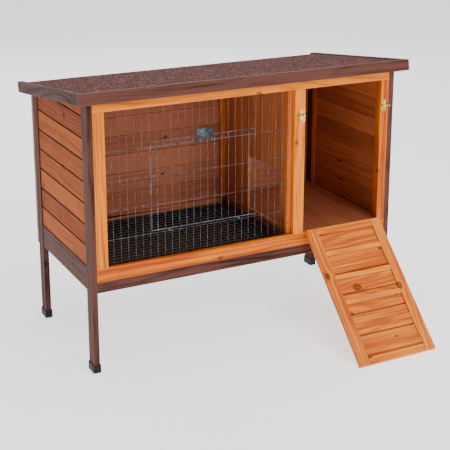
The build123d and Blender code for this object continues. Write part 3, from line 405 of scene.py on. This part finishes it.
# %% [markdown]
# ## Cutting the boards out of the solids
# A CAD board is a sharp box of triangles. Real boards have eased edges, which catch the
# light as a thin line, and that line tells the eye that the thing is solid. So each board
# is copied, its triangles are joined back into whole faces, and its outer edges are
# bevelled. Walls arrive as one solid of touching planks. They are sliced a hair apart at
# each joint, so that every plank has its own grain and the joints read as dark lines,
# helped by painted shade on the planks' eased edges.

# %% Slice and separate
HAIR = 0.0003


def welded(node):
    shape = bmesh.new()
    shape.from_mesh(nodes[node].data)
    bmesh.ops.remove_doubles(shape, verts=shape.verts, dist=1e-5)
    return shape


def loose_parts(shape):
    """The separate solids in a shape, one bmesh each."""
    shape.verts.index_update()
    left, parts = set(range(len(shape.verts))), []
    shape.verts.ensure_lookup_table()
    while left:
        reach, found = [min(left)], set()
        while reach:
            i = reach.pop()
            if i not in found:
                found.add(i)
                reach += [e.other_vert(shape.verts[i]).index for e in shape.verts[i].link_edges]
        left -= found
        part = shape.copy()
        others = [v for v in part.verts if v.index not in found]
        bmesh.ops.delete(part, geom=others, context="VERTS")
        parts.append(part)
    return parts


def sliced(shape, direction, places):
    """The planks between neighbouring places along a direction, a hair apart."""
    planks = []
    for low, high in zip(places, places[1:]):
        plank = shape.copy()
        for place, side in ((low + HAIR, -1), (high - HAIR, 1)):
            geometry = plank.verts[:] + plank.edges[:] + plank.faces[:]
            cut = bmesh.ops.bisect_plane(plank, geom=geometry, plane_co=direction * place,
                                         plane_no=direction * side, clear_outer=True, dist=1e-6)
            rim = [e for e in cut["geom_cut"] if isinstance(e, bmesh.types.BMEdge)]
            bmesh.ops.holes_fill(plank, edges=rim, sides=0)
        planks.append(plank)
    return planks


print("gap between planks:", 2 * HAIR, "m")

# %% [markdown]
# A plane or a sander takes the sharp edge off a board. A bevel modifier could do that, but
# it would need a modifier on every piece, so the bevel is cut into the mesh. The longest
# side of a board is its grain's direction, and a random start in the pattern makes each
# board a different piece of the same timber.

# %% Ease the edges and number the grain
LEVEL = (Vector((1, 0, 0)), Vector((0, 1, 0)), Vector((0, 0, 1)))
SHARP = 0.35
dice = random.Random(11)


def tilted(node):
    """Three directions that lie with a sloping node: across it, up it and out of it."""
    flat = [f for f in nodes[node].data.polygons if abs(f.normal.x) < 0.01]
    out = max(flat, key=lambda f: f.area).normal.copy()
    if out.z < 0:
        out.negate()
    return (LEVEL[0], out.cross(LEVEL[0]), out)


def ease(shape, width, axes):
    """Whole faces, and a rounded edge wherever two of them meet outwards."""
    bmesh.ops.dissolve_limit(shape, angle_limit=0.01, verts=shape.verts, edges=shape.edges)
    bmesh.ops.recalc_face_normals(shape, faces=shape.faces)
    worn = shape.faces.layers.float.new("edge")
    for face in shape.faces:
        upright = max(abs(face.normal.dot(axis)) for axis in axes)
        face[worn] = 1.0 if upright < 0.95 else 0.0
    outer = [e for e in shape.edges if len(e.link_faces) == 2 and e.calc_face_angle_signed() > SHARP]
    made = bmesh.ops.bevel(shape, geom=outer, offset=width, segments=2, profile=0.5,
                           affect="EDGES", clamp_overlap=True)
    for face in made["faces"]:
        face[worn] = 1.0
    for edge in shape.edges:
        if len(edge.link_faces) == 2 and edge.calc_face_angle_signed() < -SHARP:
            edge.smooth = False
    return shape


def number_grain(shape, axes, spread):
    """Write how far along, across and through its board each point is."""
    places = [[v.co.dot(axis) for v in shape.verts] for axis in axes]
    order = sorted(range(3), key=lambda k: min(places[k]) - max(places[k]))
    start = [dice.uniform(-20, 20) for _ in range(3)]
    shade = 0.5 + (dice.random() - 0.5) * spread
    grain = shape.verts.layers.float_vector.new("grain")
    tone = shape.verts.layers.float.new("tone")
    for i, v in enumerate(shape.verts):
        v[grain] = [places[k][i] + start[n] for n, k in enumerate(order)]
        v[tone] = shade


print("edges are eased where faces turn by more than", round(math.degrees(SHARP)), "degrees")

# %% [markdown]
# The boards of one node become one object, which shows in place of the CAD node and moves
# with the same body. Weighted normals keep the flat faces flat beside their round edges.

# %% Put a piece on its body
def stand_in(node, shapes, finish, suffix):
    """One object made of these shapes, which shows in place of the CAD node."""
    mesh = bpy.data.meshes.new(f"{node}_{suffix}")
    whole = bmesh.new()
    for shape in shapes:
        part = bpy.data.meshes.new("part")
        shape.to_mesh(part)
        whole.from_mesh(part)
        bpy.data.meshes.remove(part)
    whole.to_mesh(mesh)
    mesh.materials.clear()
    mesh.materials.append(finish)
    for face in mesh.polygons:
        face.use_smooth = True
        face.material_index = 0
    piece = bpy.data.objects.new(f"{node}_{suffix}", mesh)
    bpy.context.scene.collection.objects.link(piece)
    weights = piece.modifiers.new("weights", "WEIGHTED_NORMAL")
    weights.keep_sharp = True
    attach(piece, nodes[node]["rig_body"])
    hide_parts(node)
    return piece


# %% [markdown]
# ## The boards
# Most wooden nodes are single boards or a few loose ones, and they only need easing. The
# roof's boards lie on its slope and the ramp's on its own, so their grain follows tilted
# directions. Thick rails get wider easing than thin boards. Plywood comes from one sheet,
# so its pieces differ less in tone.

# %% Ease every board
ROOF = tilted("roof_felt")
RAMP = tilted("ramp_planks")
PLANK_PITCH = 0.0685
BACK_PLANKS = 8
RAMP_PLANKS = 6
EASING = {"dark_stained_wood": 0.0014, "honey_frame_wood": 0.0012, "chestnut_planks": 0.0006,
          "ramp_wood": 0.0009, "plywood": 0.0005}


def directions(node):
    body = nodes[node]["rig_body"]
    return ROOF if body == "roof" else RAMP if body == "ramp_door" else LEVEL


def reach(node, direction):
    places = [v.co.dot(direction) for v in nodes[node].data.vertices]
    return min(places), max(places)


def spread(start, end, count):
    """The ends of this many equal steps from start to end."""
    return [start + (end - start) * i / count for i in range(count + 1)]


def even_places(node, direction, count):
    return spread(*reach(node, direction), count)


def wall_places(node):
    low, high = reach(node, LEVEL[2])
    whole = math.ceil((high - low) / PLANK_PITCH)
    return [low + PLANK_PITCH * i for i in range(whole)] + [high + HAIR]


SLICES = {
    "left_wall_planks": (LEVEL[2], wall_places("left_wall_planks")),
    "right_wall_planks": (LEVEL[2], wall_places("right_wall_planks")),
    "back_wall_planks": (LEVEL[2], even_places("back_wall_planks", LEVEL[2], BACK_PLANKS)),
    "ramp_planks": (RAMP[1], even_places("ramp_planks", RAMP[1], RAMP_PLANKS)),
}
boards = 0
for node in sorted(nodes):
    slot = slots[node]
    if slot not in EASING:
        continue
    shape = welded(node)
    shapes = sliced(shape, *SLICES[node]) if node in SLICES else loose_parts(shape)
    for shape in shapes:
        ease(shape, EASING[slot], directions(node))
        number_grain(shape, directions(node), 0.5 if slot == "plywood" else 1.0)
    stand_in(node, shapes, WOODS[FINISH_OF.get(node, slot)], "wood")
    boards += len(shapes)
print("boards eased:", boards)

# %% [markdown]
# ## Roofing felt
# The roof is covered with mineral felt: bitumen sheet with coloured stone granules pressed
# into it. Granules in dark mauve, rust and a few pale ones give a speckle that is dark from
# afar, and they lie in clumps. Cells of a Voronoi texture are the granules, each with a
# random colour, and the distance to each cell's middle gives its rounded top.

# %% Scatter the granules
GRANULES = 225.0
CLUMPS = 85.0
WORN_PATCHES = 9.0
GRANULE_DEPTH = 0.0016
# the share of stones that are darker than each colour
STONES = [(0.0, tint(20, 8, 8)), (0.32, tint(55, 23, 21)), (0.58, tint(90, 41, 37)),
          (0.8, tint(130, 71, 62)), (1.0, tint(198, 138, 121))]


def granules(name):
    f = Finish(name)
    place = f.node("TexCoord", {}, output="Object")
    fine = {"Vector": place, "Scale": GRANULES, "Randomness": 1.0}
    chance = f.node("TexVoronoi", {}, fine, "Color")
    pick = f.node("SeparateColor", {}, (chance,), "Red")
    clump = f.noise(place, CLUMPS, 3.0, 0.7)
    worn = f.noise(place, WORN_PATCHES, 3.0)
    pick = pick * 0.75 + clump * 1.6 - 0.67
    stone = f.node("ValToRGB", {"stops": STONES}, (pick,))
    stone = f.mix(worn.between(0.35, 0.75) * 0.3, stone, tint(62, 38, 35))
    bead = 1 - f.node("TexVoronoi", {}, fine, "Distance")
    height = bead * 0.7 + clump * 1.2
    return f.surface({"Base Color": stone, "Roughness": pick * 0.2 + 0.75, "Specular IOR Level": 0.15},
                     height, GRANULE_DEPTH)


FELT = granules("granule_felt")
print("granules about", round(1000 / GRANULES, 1), "mm apart")

# %% [markdown]
# The felt sheet itself is never quite flat. Its top is rebuilt as a fine net of faces whose
# points sink by up to a millimetre in slow waves, and it stays inside the CAD sheet.

# %% Drape the felt sheet
from mathutils import noise as waves

FELT_STEP = 0.012
FELT_SINK = 0.0009
WAVES = (9, 14)


def felt_sheet():
    """The sheet as a closed net of faces: the waved top, the flat underside and the rim."""
    left, right = reach("roof_felt", ROOF[0])
    low, high = reach("roof_felt", ROOF[1])
    bottom, top = reach("roof_felt", ROOF[2])
    across = round((right - left) / FELT_STEP)
    up = round((high - low) / FELT_STEP)
    sheet = bmesh.new()

    def row_of_points(j, layer, sunk):
        row = []
        for i in range(across + 1):
            x = left + (right - left) * i / across
            y = low + (high - low) * j / up
            sink = sunk * (0.5 + 0.5 * waves.noise(Vector((x * WAVES[0], y * WAVES[1], 3))))
            row.append(sheet.verts.new(ROOF[0] * x + ROOF[1] * y + ROOF[2] * (layer - sink)))
        return row

    over = [row_of_points(j, top, FELT_SINK) for j in range(up + 1)]
    under = [row_of_points(j, bottom, 0) for j in range(up + 1)]
    for a, b in zip(over, over[1:]):
        for i in range(across):
            sheet.faces.new((a[i], a[i + 1], b[i + 1], b[i]))
    for a, b in zip(under, under[1:]):
        for i in range(across):
            sheet.faces.new((a[i], b[i], b[i + 1], a[i + 1]))
    for i in range(across):
        sheet.faces.new((over[0][i + 1], over[0][i], under[0][i], under[0][i + 1]))
        sheet.faces.new((over[-1][i], over[-1][i + 1], under[-1][i + 1], under[-1][i]))
    for a, b, c, d in zip(over, over[1:], under, under[1:]):
        sheet.faces.new((a[0], b[0], d[0], c[0]))
        sheet.faces.new((b[-1], a[-1], c[-1], d[-1]))
    bmesh.ops.recalc_face_normals(sheet, faces=sheet.faces)
    return sheet


stand_in("roof_felt", [felt_sheet()], FELT, "sheet")
print("felt laid with", len(bpy.data.meshes["roof_felt_sheet"].vertices), "points")

# %% [markdown]
# ## Metals and plastic
# Galvanised wire and zinc plate are grey metal with cloudy spangles. Brass is a pale gold
# with duller patches where hands touched it. Screws are blackened steel. The pan is black
# plastic, the feet are rubber and the mesh floor is coated: no metal, a faint pebble in the
# surface, a little dust and soft highlights.

# %% Metal and plastic finishes
GRIT = 900.0
DUST = 14.0


def metal(name, bright, dull, cloud, rough, pitting):
    m = Finish(name)
    place = m.node("TexCoord", {}, output="Object")
    patch = m.noise(place, cloud, 3.0, 0.6)
    grit = m.noise(place, GRIT, 2.0)
    colour = m.mix(patch.between(0.35, 0.7), bright, dull)
    roughness = rough + (patch - 0.5) * 0.3 + (grit - 0.5) * 0.12
    return m.surface({"Base Color": colour, "Metallic": 1.0, "Roughness": roughness},
                     grit + patch * 0.4, pitting)


def plastic(name, colour, dusty, rough, pebble, depth, shine=0.4):
    p = Finish(name)
    place = p.node("TexCoord", {}, output="Object")
    skin = p.noise(place, pebble, 2.0)
    dust = p.noise(place, DUST, 4.0, 0.6)
    shade = p.mix(dust.between(0.45, 0.8) * 0.5, colour, dusty)
    roughness = rough + (dust - 0.5) * 0.2
    return p.surface({"Base Color": shade, "Roughness": roughness, "Specular IOR Level": shine},
                     skin, depth)


METALS = {
    "galvanised_wire": metal("galvanised", tint(120, 124, 128), tint(62, 65, 69), 60.0, 0.38, 0.00006),
    "zinc_steel": metal("zinc_plate", tint(84, 90, 95), tint(36, 40, 44), 45.0, 0.34, 0.00005),
    "brass": metal("pale_brass", tint(236, 206, 128), tint(170, 132, 66), 70.0, 0.3, 0.00004),
    "dark_screw": metal("black_screw", tint(70, 62, 58), tint(40, 34, 32), 120.0, 0.42, 0.00005),
    "black_mesh": plastic("coated_mesh", tint(74, 74, 76), tint(104, 103, 102), 0.38, 500.0, 0.0001),
    "black_rubber": plastic("black_rubber", tint(15, 15, 16), tint(34, 33, 32), 0.55, 600.0, 0.0001, 0.25),
    "black_plastic": plastic("black_plastic", tint(30, 28, 29), tint(54, 51, 49), 0.42, 700.0, 0.00012),
}
for node in sorted(nodes):
    if slots[node] in METALS:
        nodes[node].material_slots[0].material = METALS[slots[node]]
print("fittings finished:", ", ".join(METALS))

# %% [markdown]
# ## Round wires
# The CAD grilles are flat, with square bars. Real ones are straight wires laid across each
# other and welded where they cross, so they sit in two layers that just bite into each
# other. Each wire is a tube swept along its points, with its ends cut square.

# %% Sweep wires
SIDES = 8


def sweep(shape, points, radius):
    """Add a tube along these points to the shape."""
    points = [Vector(p) for p in points]
    rings = []
    side = None
    for i, here in enumerate(points):
        before, after = points[max(i - 1, 0)], points[min(i + 1, len(points) - 1)]
        ahead = (after - before).normalized()
        if side is None:
            side = ahead.orthogonal().normalized()
        side = (side - ahead * side.dot(ahead)).normalized()
        other = ahead.cross(side)
        stretch = 1.0
        if 0 < i < len(points) - 1:
            stretch = 1 / max(0.5, ahead.dot((after - here).normalized()))
        ring = []
        for k in range(SIDES):
            turn = 2 * math.pi * (k + 0.5) / SIDES
            spoke = side * math.cos(turn) + other * math.sin(turn)
            ring.append(shape.verts.new(here + spoke * radius * stretch))
        rings.append(ring)
    for a, b in zip(rings, rings[1:]):
        for k in range(SIDES):
            shape.faces.new((a[k], a[(k + 1) % SIDES], b[(k + 1) % SIDES], b[k]))
    shape.faces.new(rings[0][::-1])
    shape.faces.new(rings[-1])


def wires(node, runs, finish):
    """Runs are (points, radius); they become one piece of wirework."""
    shape = bmesh.new()
    for points, radius in runs:
        sweep(shape, points, radius)
    for edge in shape.edges:
        if any(len(face.verts) > 4 for face in edge.link_faces):
            edge.smooth = False
    return stand_in(node, [shape], finish, "wires")


print("each wire has", SIDES, "sides")

# %% [markdown]
# The fixed grille fills the front of the run. Its uprights stand 25 mm apart and its six
# rows are wider apart. A window is left in it for the wire door, so the wires that would
# cross the window stop at its edges.

# %% The fixed grille
WIRE = 0.00062
BITE = 0.85                    # of a wire's radius, from the layers' middle to each wire's
HAIRLINE = 0.001
WIRE_PITCH = 0.025
UPRIGHTS = [-0.522 + WIRE_PITCH * i for i in range(28)]
ROWS = [0.338, 0.429, 0.523, 0.617, 0.711, 0.853]
WINDOW_X = (-0.322, 0.003)
WINDOW_Z = (0.429, 0.711)


def crosses(place, window):
    return window[0] + HAIRLINE < place < window[1] - HAIRLINE


def stretches(start, end, window, broken):
    """A whole wire's two ends, or those of both parts of one that stops at the window."""
    if broken:
        return [(start, window[0] + WIRE), (window[1] - WIRE, end)]
    return [(start, end)]


low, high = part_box("wire_panel")
middle = (low.y + high.y) / 2
uprights_y, rows_y = middle + WIRE * BITE, middle - WIRE * BITE
runs = []
for x in UPRIGHTS:
    parts = stretches(low.z, high.z, WINDOW_Z, crosses(x, WINDOW_X))
    runs += [([(x, uprights_y, a), (x, uprights_y, b)], WIRE) for a, b in parts]
for z in ROWS:
    parts = stretches(low.x, high.x, WINDOW_X, crosses(z, WINDOW_Z))
    runs += [([(a, rows_y, z), (b, rows_y, z)], WIRE) for a, b in parts]
wires("wire_panel", runs, METALS["galvanised_wire"])
print("fixed grille:", len(runs), "wires")

# %% [markdown]
# The door is a smaller grille with a heavier wire round its edge. Its bottom wire is the
# axle it swings on, so that wire runs in front of the others, and each upright is bent
# forward at its foot and lapped round the axle.

# %% The wire door
low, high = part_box("wire_door")
HEAVY = 0.0012
AXLE = 0.0016
EDGE_INSET = 0.0015
CORNER = 0.006
axle_y, axle_z = low.y + AXLE, low.z + AXLE
left, right, top = low.x + EDGE_INSET, high.x - EDGE_INSET, high.z - EDGE_INSET
edge_y = high.y - HEAVY
front_y, rear_y = high.y - 2 * HEAVY + WIRE, high.y - WIRE
bend = [(left, edge_y, axle_z + 0.004), (left, edge_y, top - CORNER)]
bend += [(left + CORNER * (1 - math.cos(t)), edge_y, top - CORNER * (1 - math.sin(t)))
         for t in (0.4, 0.8, 1.2)]
bend += [(left + CORNER, edge_y, top)]
bend += [(-x + left + right, y, z) for x, y, z in reversed(bend)]
runs = [(bend, HEAVY), ([(low.x, axle_y, axle_z), (high.x, axle_y, axle_z)], AXLE)]
for x in UPRIGHTS:
    if WINDOW_X[0] - HAIRLINE < x < WINDOW_X[1] + HAIRLINE:
        foot = [(x, axle_y + 0.0015, axle_z - 0.0002), (x, rear_y - 0.0005, axle_z + 0.004)]
        runs.append((foot + [(x, rear_y, axle_z + 0.008), (x, rear_y, top)], WIRE))
for z in ROWS[2:5]:
    runs.append(([(left, front_y, z), (right, front_y, z)], WIRE))
for x in (left, right):
    runs.append(([(x, axle_y, axle_z), (x, edge_y, axle_z + 0.006)], HEAVY))
wires("wire_door", runs, METALS["galvanised_wire"])
print("door grille:", len(runs), "wires")

# %% [markdown]
# The floor of the run is a coated black mesh, heavy enough to stand on. It is two crossed
# layers of thick wire.

# %% The mesh floor
low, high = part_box("mesh_floor")
BAR = 0.001
columns = round((high.x - low.x - 2 * BAR) / WIRE_PITCH)
rows = round((high.y - low.y - 2 * BAR) / WIRE_PITCH)
runs = []
lower_z, upper_z = low.z + 1.2 * BAR, high.z - BAR
for x in spread(low.x + BAR, high.x - BAR, columns):
    runs.append(([(x, low.y, lower_z), (x, high.y, lower_z)], BAR))
for y in spread(low.y + BAR, high.y - BAR, rows):
    runs.append(([(low.x, y, upper_z), (high.x, y, upper_z)], BAR))
wires("mesh_floor", runs, METALS["black_mesh"])
print("mesh floor:", len(runs), "wires")

# %% [markdown]
# ## Moulded plastic
# The pan and the foot caps come out of a mould, and moulds have no sharp edges. They are
# eased like the boards, only rounder.

# %% Round the mouldings
def boxed(low, high):
    shape = bmesh.new()
    middle = Matrix.Translation((Vector(low) + Vector(high)) / 2)
    size = Matrix.Diagonal((*(Vector(high) - Vector(low)), 1))
    bmesh.ops.create_cube(shape, size=1.0, matrix=middle @ size)
    return shape


def tray(low, high, wall):
    """A box with an open top and walls of one thickness."""
    shape = boxed(low, high)
    lid = max(shape.faces, key=lambda f: f.calc_center_median().z)
    bmesh.ops.inset_region(shape, faces=[lid], thickness=wall)
    for corner in lid.verts:
        corner.co.z = low[2] + wall
    return shape


PAN_WALL = 0.0025
PAN_MARGIN = 0.009
PAN_EASING = 0.001
CAP_EASING = 0.0022
FLANGE = 0.004
FLANGE_RISE = 0.0095
GRIP_WIDTH, GRIP_REACH = 0.12, 0.012
low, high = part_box("waste_pan")
rim = high.z - FLANGE_RISE
back = high.y - GRIP_REACH - FLANGE
middle = (low.x + high.x) / 2
parts = [
    tray((low.x + PAN_MARGIN, low.y, low.z), (high.x - PAN_MARGIN, back + 0.001, rim), PAN_WALL),
    boxed((low.x, back, low.z), (high.x, back + FLANGE, high.z)),
    boxed((middle - GRIP_WIDTH / 2, back + FLANGE / 2, rim - FLANGE),
          (middle + GRIP_WIDTH / 2, high.y, rim)),
]
mouldings = [ease(part, PAN_EASING, LEVEL) for part in parts]
stand_in("waste_pan", mouldings, METALS["black_plastic"], "moulding")
caps = [ease(cap, CAP_EASING, LEVEL) for cap in loose_parts(welded("foot_caps"))]
stand_in("foot_caps", caps, METALS["black_rubber"], "moulding")
print("pan of", len(parts), "parts and", len(caps), "foot caps eased")

# %% [markdown]
# ## Screws and nails
# A screw head is a shallow dome with a cross pressed into it. It would be slow to cut a
# cross into every head, so one head is made with a boolean cut and then copied to every
# place. Nails are plain small domes.

# %% One screw head
def dome(radius, height, around, steps):
    """A low dome, closed underneath, with rings of points from its tip down."""
    shape = bmesh.new()
    tip = shape.verts.new((0, 0, height))
    rings = []
    for s in range(1, steps + 1):
        tilt = math.pi / 2 * s / steps
        ring = []
        for k in range(around):
            turn = 2 * math.pi * k / around
            r = radius * math.sin(tilt)
            ring.append(shape.verts.new((r * math.cos(turn), r * math.sin(turn), height * math.cos(tilt))))
        rings.append(ring)
    for k in range(around):
        shape.faces.new((tip, rings[0][k], rings[0][(k + 1) % around]))
    for a, b in zip(rings, rings[1:]):
        for k in range(around):
            after = (k + 1) % around
            shape.faces.new((a[k], b[k], b[after], a[after]))
    shape.faces.new(rings[-1][::-1])
    return shape


def mesh_of(shape, name):
    mesh = bpy.data.meshes.new(name)
    shape.to_mesh(mesh)
    return mesh


def cross_head():
    """A dome of radius 1 and height 0.45, with a cross cut into its top."""
    head = bpy.data.objects.new("head", mesh_of(dome(1.0, 0.45, 24, 5), "head"))
    blade = bmesh.new()
    lifted = Matrix.Translation((0, 0, 0.46))
    for size in ((1.05, 0.2, 0.5), (0.2, 1.05, 0.5)):
        bmesh.ops.create_cube(blade, size=1.0, matrix=lifted @ Matrix.Diagonal((*size, 1)))
    cutter = bpy.data.objects.new("cutter", mesh_of(blade, "cutter"))
    for thing in (head, cutter):
        bpy.context.scene.collection.objects.link(thing)
    cut = head.modifiers.new("cut", "BOOLEAN")
    cut.operation = "DIFFERENCE"
    cut.solver = "EXACT"
    cut.use_self = True
    cut.object = cutter
    bpy.context.view_layer.update()
    seen = head.evaluated_get(bpy.context.evaluated_depsgraph_get())
    mesh = bpy.data.meshes.new_from_object(seen)
    for thing in (head, cutter):
        bpy.data.objects.remove(thing)
    return mesh


CROSS_HEAD = cross_head()
NAIL_HEAD = mesh_of(dome(1.0, 0.35, 12, 3), "nail_head")
print("one screw head:", len(CROSS_HEAD.polygons), "faces")

# %% [markdown]
# Each place says where a head's foot stands, which way it looks, how large it is and how
# far it was turned when the driver stopped. No two cross slots are left at the same angle.

# %% Copy heads to their places
def heads(name, pattern, places, finish, body):
    """Places are (centre, way out, radius, turn); all the heads become one piece."""
    shape = bmesh.new()
    for centre, out, radius, turn in places:
        stand = Matrix.Translation(centre) @ Vector(out).to_track_quat("Z", "Y").to_matrix().to_4x4()
        stand = stand @ Matrix.Rotation(turn, 4, "Z") @ Matrix.Scale(radius, 4)
        copy = pattern.copy()
        copy.transform(stand)
        shape.from_mesh(copy)
        bpy.data.meshes.remove(copy)
    mesh = mesh_of(shape, name)
    mesh.materials.clear()
    mesh.materials.append(finish)
    piece = bpy.data.objects.new(name, mesh)
    bpy.context.scene.collection.objects.link(piece)
    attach(piece, body)
    return piece


print("patterns of head:", CROSS_HEAD.name, "and", NAIL_HEAD.name)

# %% [markdown]
# The CAD screws are plain discs. Each disc says where its head sits and which way it faces:
# its shortest side is its axis, and it faces away from the middle of the hutch.

# %% Dress the CAD screws
def disc_places(node):
    """Each loose disc of a node as a place for a head."""
    found = []
    for part in loose_parts(welded(node)):
        points = [v.co for v in part.verts]
        lowest = Vector([min(point[k] for point in points) for k in range(3)])
        highest = Vector([max(point[k] for point in points) for k in range(3)])
        size = highest - lowest
        axis = min(range(3), key=lambda k: size[k])
        foot = (lowest + highest) / 2
        out = Vector((0, 0, 0))
        out[axis] = 1 if foot[axis] > 0 else -1
        foot[axis] -= out[axis] * size[axis] / 2
        found.append((foot, out, max(size) / 2, dice.uniform(0, math.pi)))
    return found


for node in ("leg_screws", "latch_screws", "fascia_screws"):
    slot = slots[node]
    places = disc_places(node)
    piece = heads(f"{node}_heads", CROSS_HEAD, places, METALS[slot], nodes[node]["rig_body"])
    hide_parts(node)
    print(node, len(places), "heads of", round(places[0][2] * 1000, 1), "mm radius")

# %% [markdown]
# Hinge leaves are held by three small screws each. The leaf's widest flat face says where
# they go.

# %% Screw the hinges down
LEAF_SCREW = 0.0026
LEAF_SPACING = 0.021
SUNK = 0.0003


def leaf_places(node, out):
    """Three places on the widest face of each leaf that looks outwards."""
    found = []
    for part in loose_parts(welded(node)):
        flat = [f for f in part.faces if f.normal.dot(out) > 0.999]
        level = max(flat, key=lambda f: f.calc_area()).calc_center_median().dot(out)
        flat = [f for f in flat if abs(f.calc_center_median().dot(out) - level) < 1e-5]
        area = sum(f.calc_area() for f in flat)
        centre = sum((f.calc_center_median() * f.calc_area() for f in flat), Vector()) / area
        for offset in (-LEAF_SPACING, 0, LEAF_SPACING):
            place = centre + LEVEL[0] * offset - out * SUNK
            found.append((place, out, LEAF_SCREW, dice.uniform(0, math.pi)))
    return found


LEAVES = (("ramp_hinge_fixed_leaves", -LEVEL[1]), ("ramp_hinge_moving_leaves", -RAMP[2]),
          ("roof_hinge_fixed_leaves", LEVEL[1]), ("roof_hinge_moving_leaves", -ROOF[2]))
for node, out in LEAVES:
    places = leaf_places(node, out)
    body = nodes[node]["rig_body"]
    heads(f"{node}_screws", CROSS_HEAD, places, METALS["zinc_steel"], body)
    print(node, len(places), "screws")

# %% [markdown]
# The door's latch is a stamped plate. Two long pressed ribs stiffen it, and four rivets
# stand near its corners. They are small, but from the front they turn a flat patch into a
# fitting.

# %% Ribs and rivets on the latch
RIB = 0.0011
RIB_REACH = 0.019
RIVET = 0.0024
PLATE_INSET = 0.006
low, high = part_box("door_latch")
face_y = low.y + PLATE_INSET
middle = (low.x + high.x) / 2
shape = bmesh.new()
for rise in (0.010, 0.019):
    z = low.z + rise
    sweep(shape, [(middle - RIB_REACH, face_y, z), (middle + RIB_REACH, face_y, z)], RIB)
ribs = bpy.data.objects.new("latch_ribs", mesh_of(shape, "latch_ribs"))
ribs.data.materials.append(METALS["zinc_steel"])
bpy.context.scene.collection.objects.link(ribs)
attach(ribs, "latch_slide")
rivets = [(Vector((middle + x, face_y, low.z + z)), -LEVEL[1], RIVET, 0)
          for x in (-0.021, 0.021) for z in (0.006, 0.027)]
heads("latch_rivets", NAIL_HEAD, rivets, METALS["dark_screw"], "latch_slide")
print("latch face at", round(face_y, 4))

# %% [markdown]
# The planks are nailed to the battens behind them, two nails at each end, and the back wall
# has a middle row too. Each end of the ramp's stiles has two. The nails are blackened and
# sit almost flush.

# %% Nail the planks
NAIL = 0.0013
NAIL_RISES = (0.018, 0.05)
BEARER_X = 0.169


def wall_nails(node, x, out):
    """Nails near both ends of each plank of an end wall, below the roof's slope."""
    low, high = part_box(node)
    found = []
    for z in wall_places(node)[:-1]:
        for y in (low.y + 0.009, high.y - 0.009):
            for rise in NAIL_RISES:
                if z + rise < high.z - 0.03:
                    found.append((Vector((x, y, z + rise)), out, NAIL, 0))
    return found


nails = wall_nails("left_wall_planks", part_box("left_wall_planks")[0].x, -LEVEL[0])
nails += wall_nails("right_wall_planks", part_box("right_wall_planks")[1].x, LEVEL[0])
low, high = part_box("back_wall_planks")
for z in even_places("back_wall_planks", LEVEL[2], BACK_PLANKS)[:-1]:
    for x in (low.x + 0.012, BEARER_X, high.x - 0.012):
        for rise in NAIL_RISES:
            if z > low.z + 0.04 or x > 0.1:
                nails.append((Vector((x, high.y, z + rise)), LEVEL[1], NAIL, 0))
heads("wall_nails", NAIL_HEAD, nails, METALS["dark_screw"], "hutch_body")
print("wall nails:", len(nails))

nails = []
stile_top = reach("ramp_stile_left", RAMP[2])[1]
down, up = reach("ramp_stile_left", RAMP[1])
for stile in ("ramp_stile_left", "ramp_stile_right"):
    low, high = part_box(stile)
    for x in (low.x + 0.011, high.x - 0.011):
        for along in (down + 0.0125, up - 0.0125):
            centre = LEVEL[0] * x + RAMP[1] * along + RAMP[2] * stile_top
            nails.append((centre, RAMP[2], NAIL, 0))
heads("ramp_nails", NAIL_HEAD, nails, METALS["dark_screw"], "ramp_door")
print("ramp nails:", len(nails))
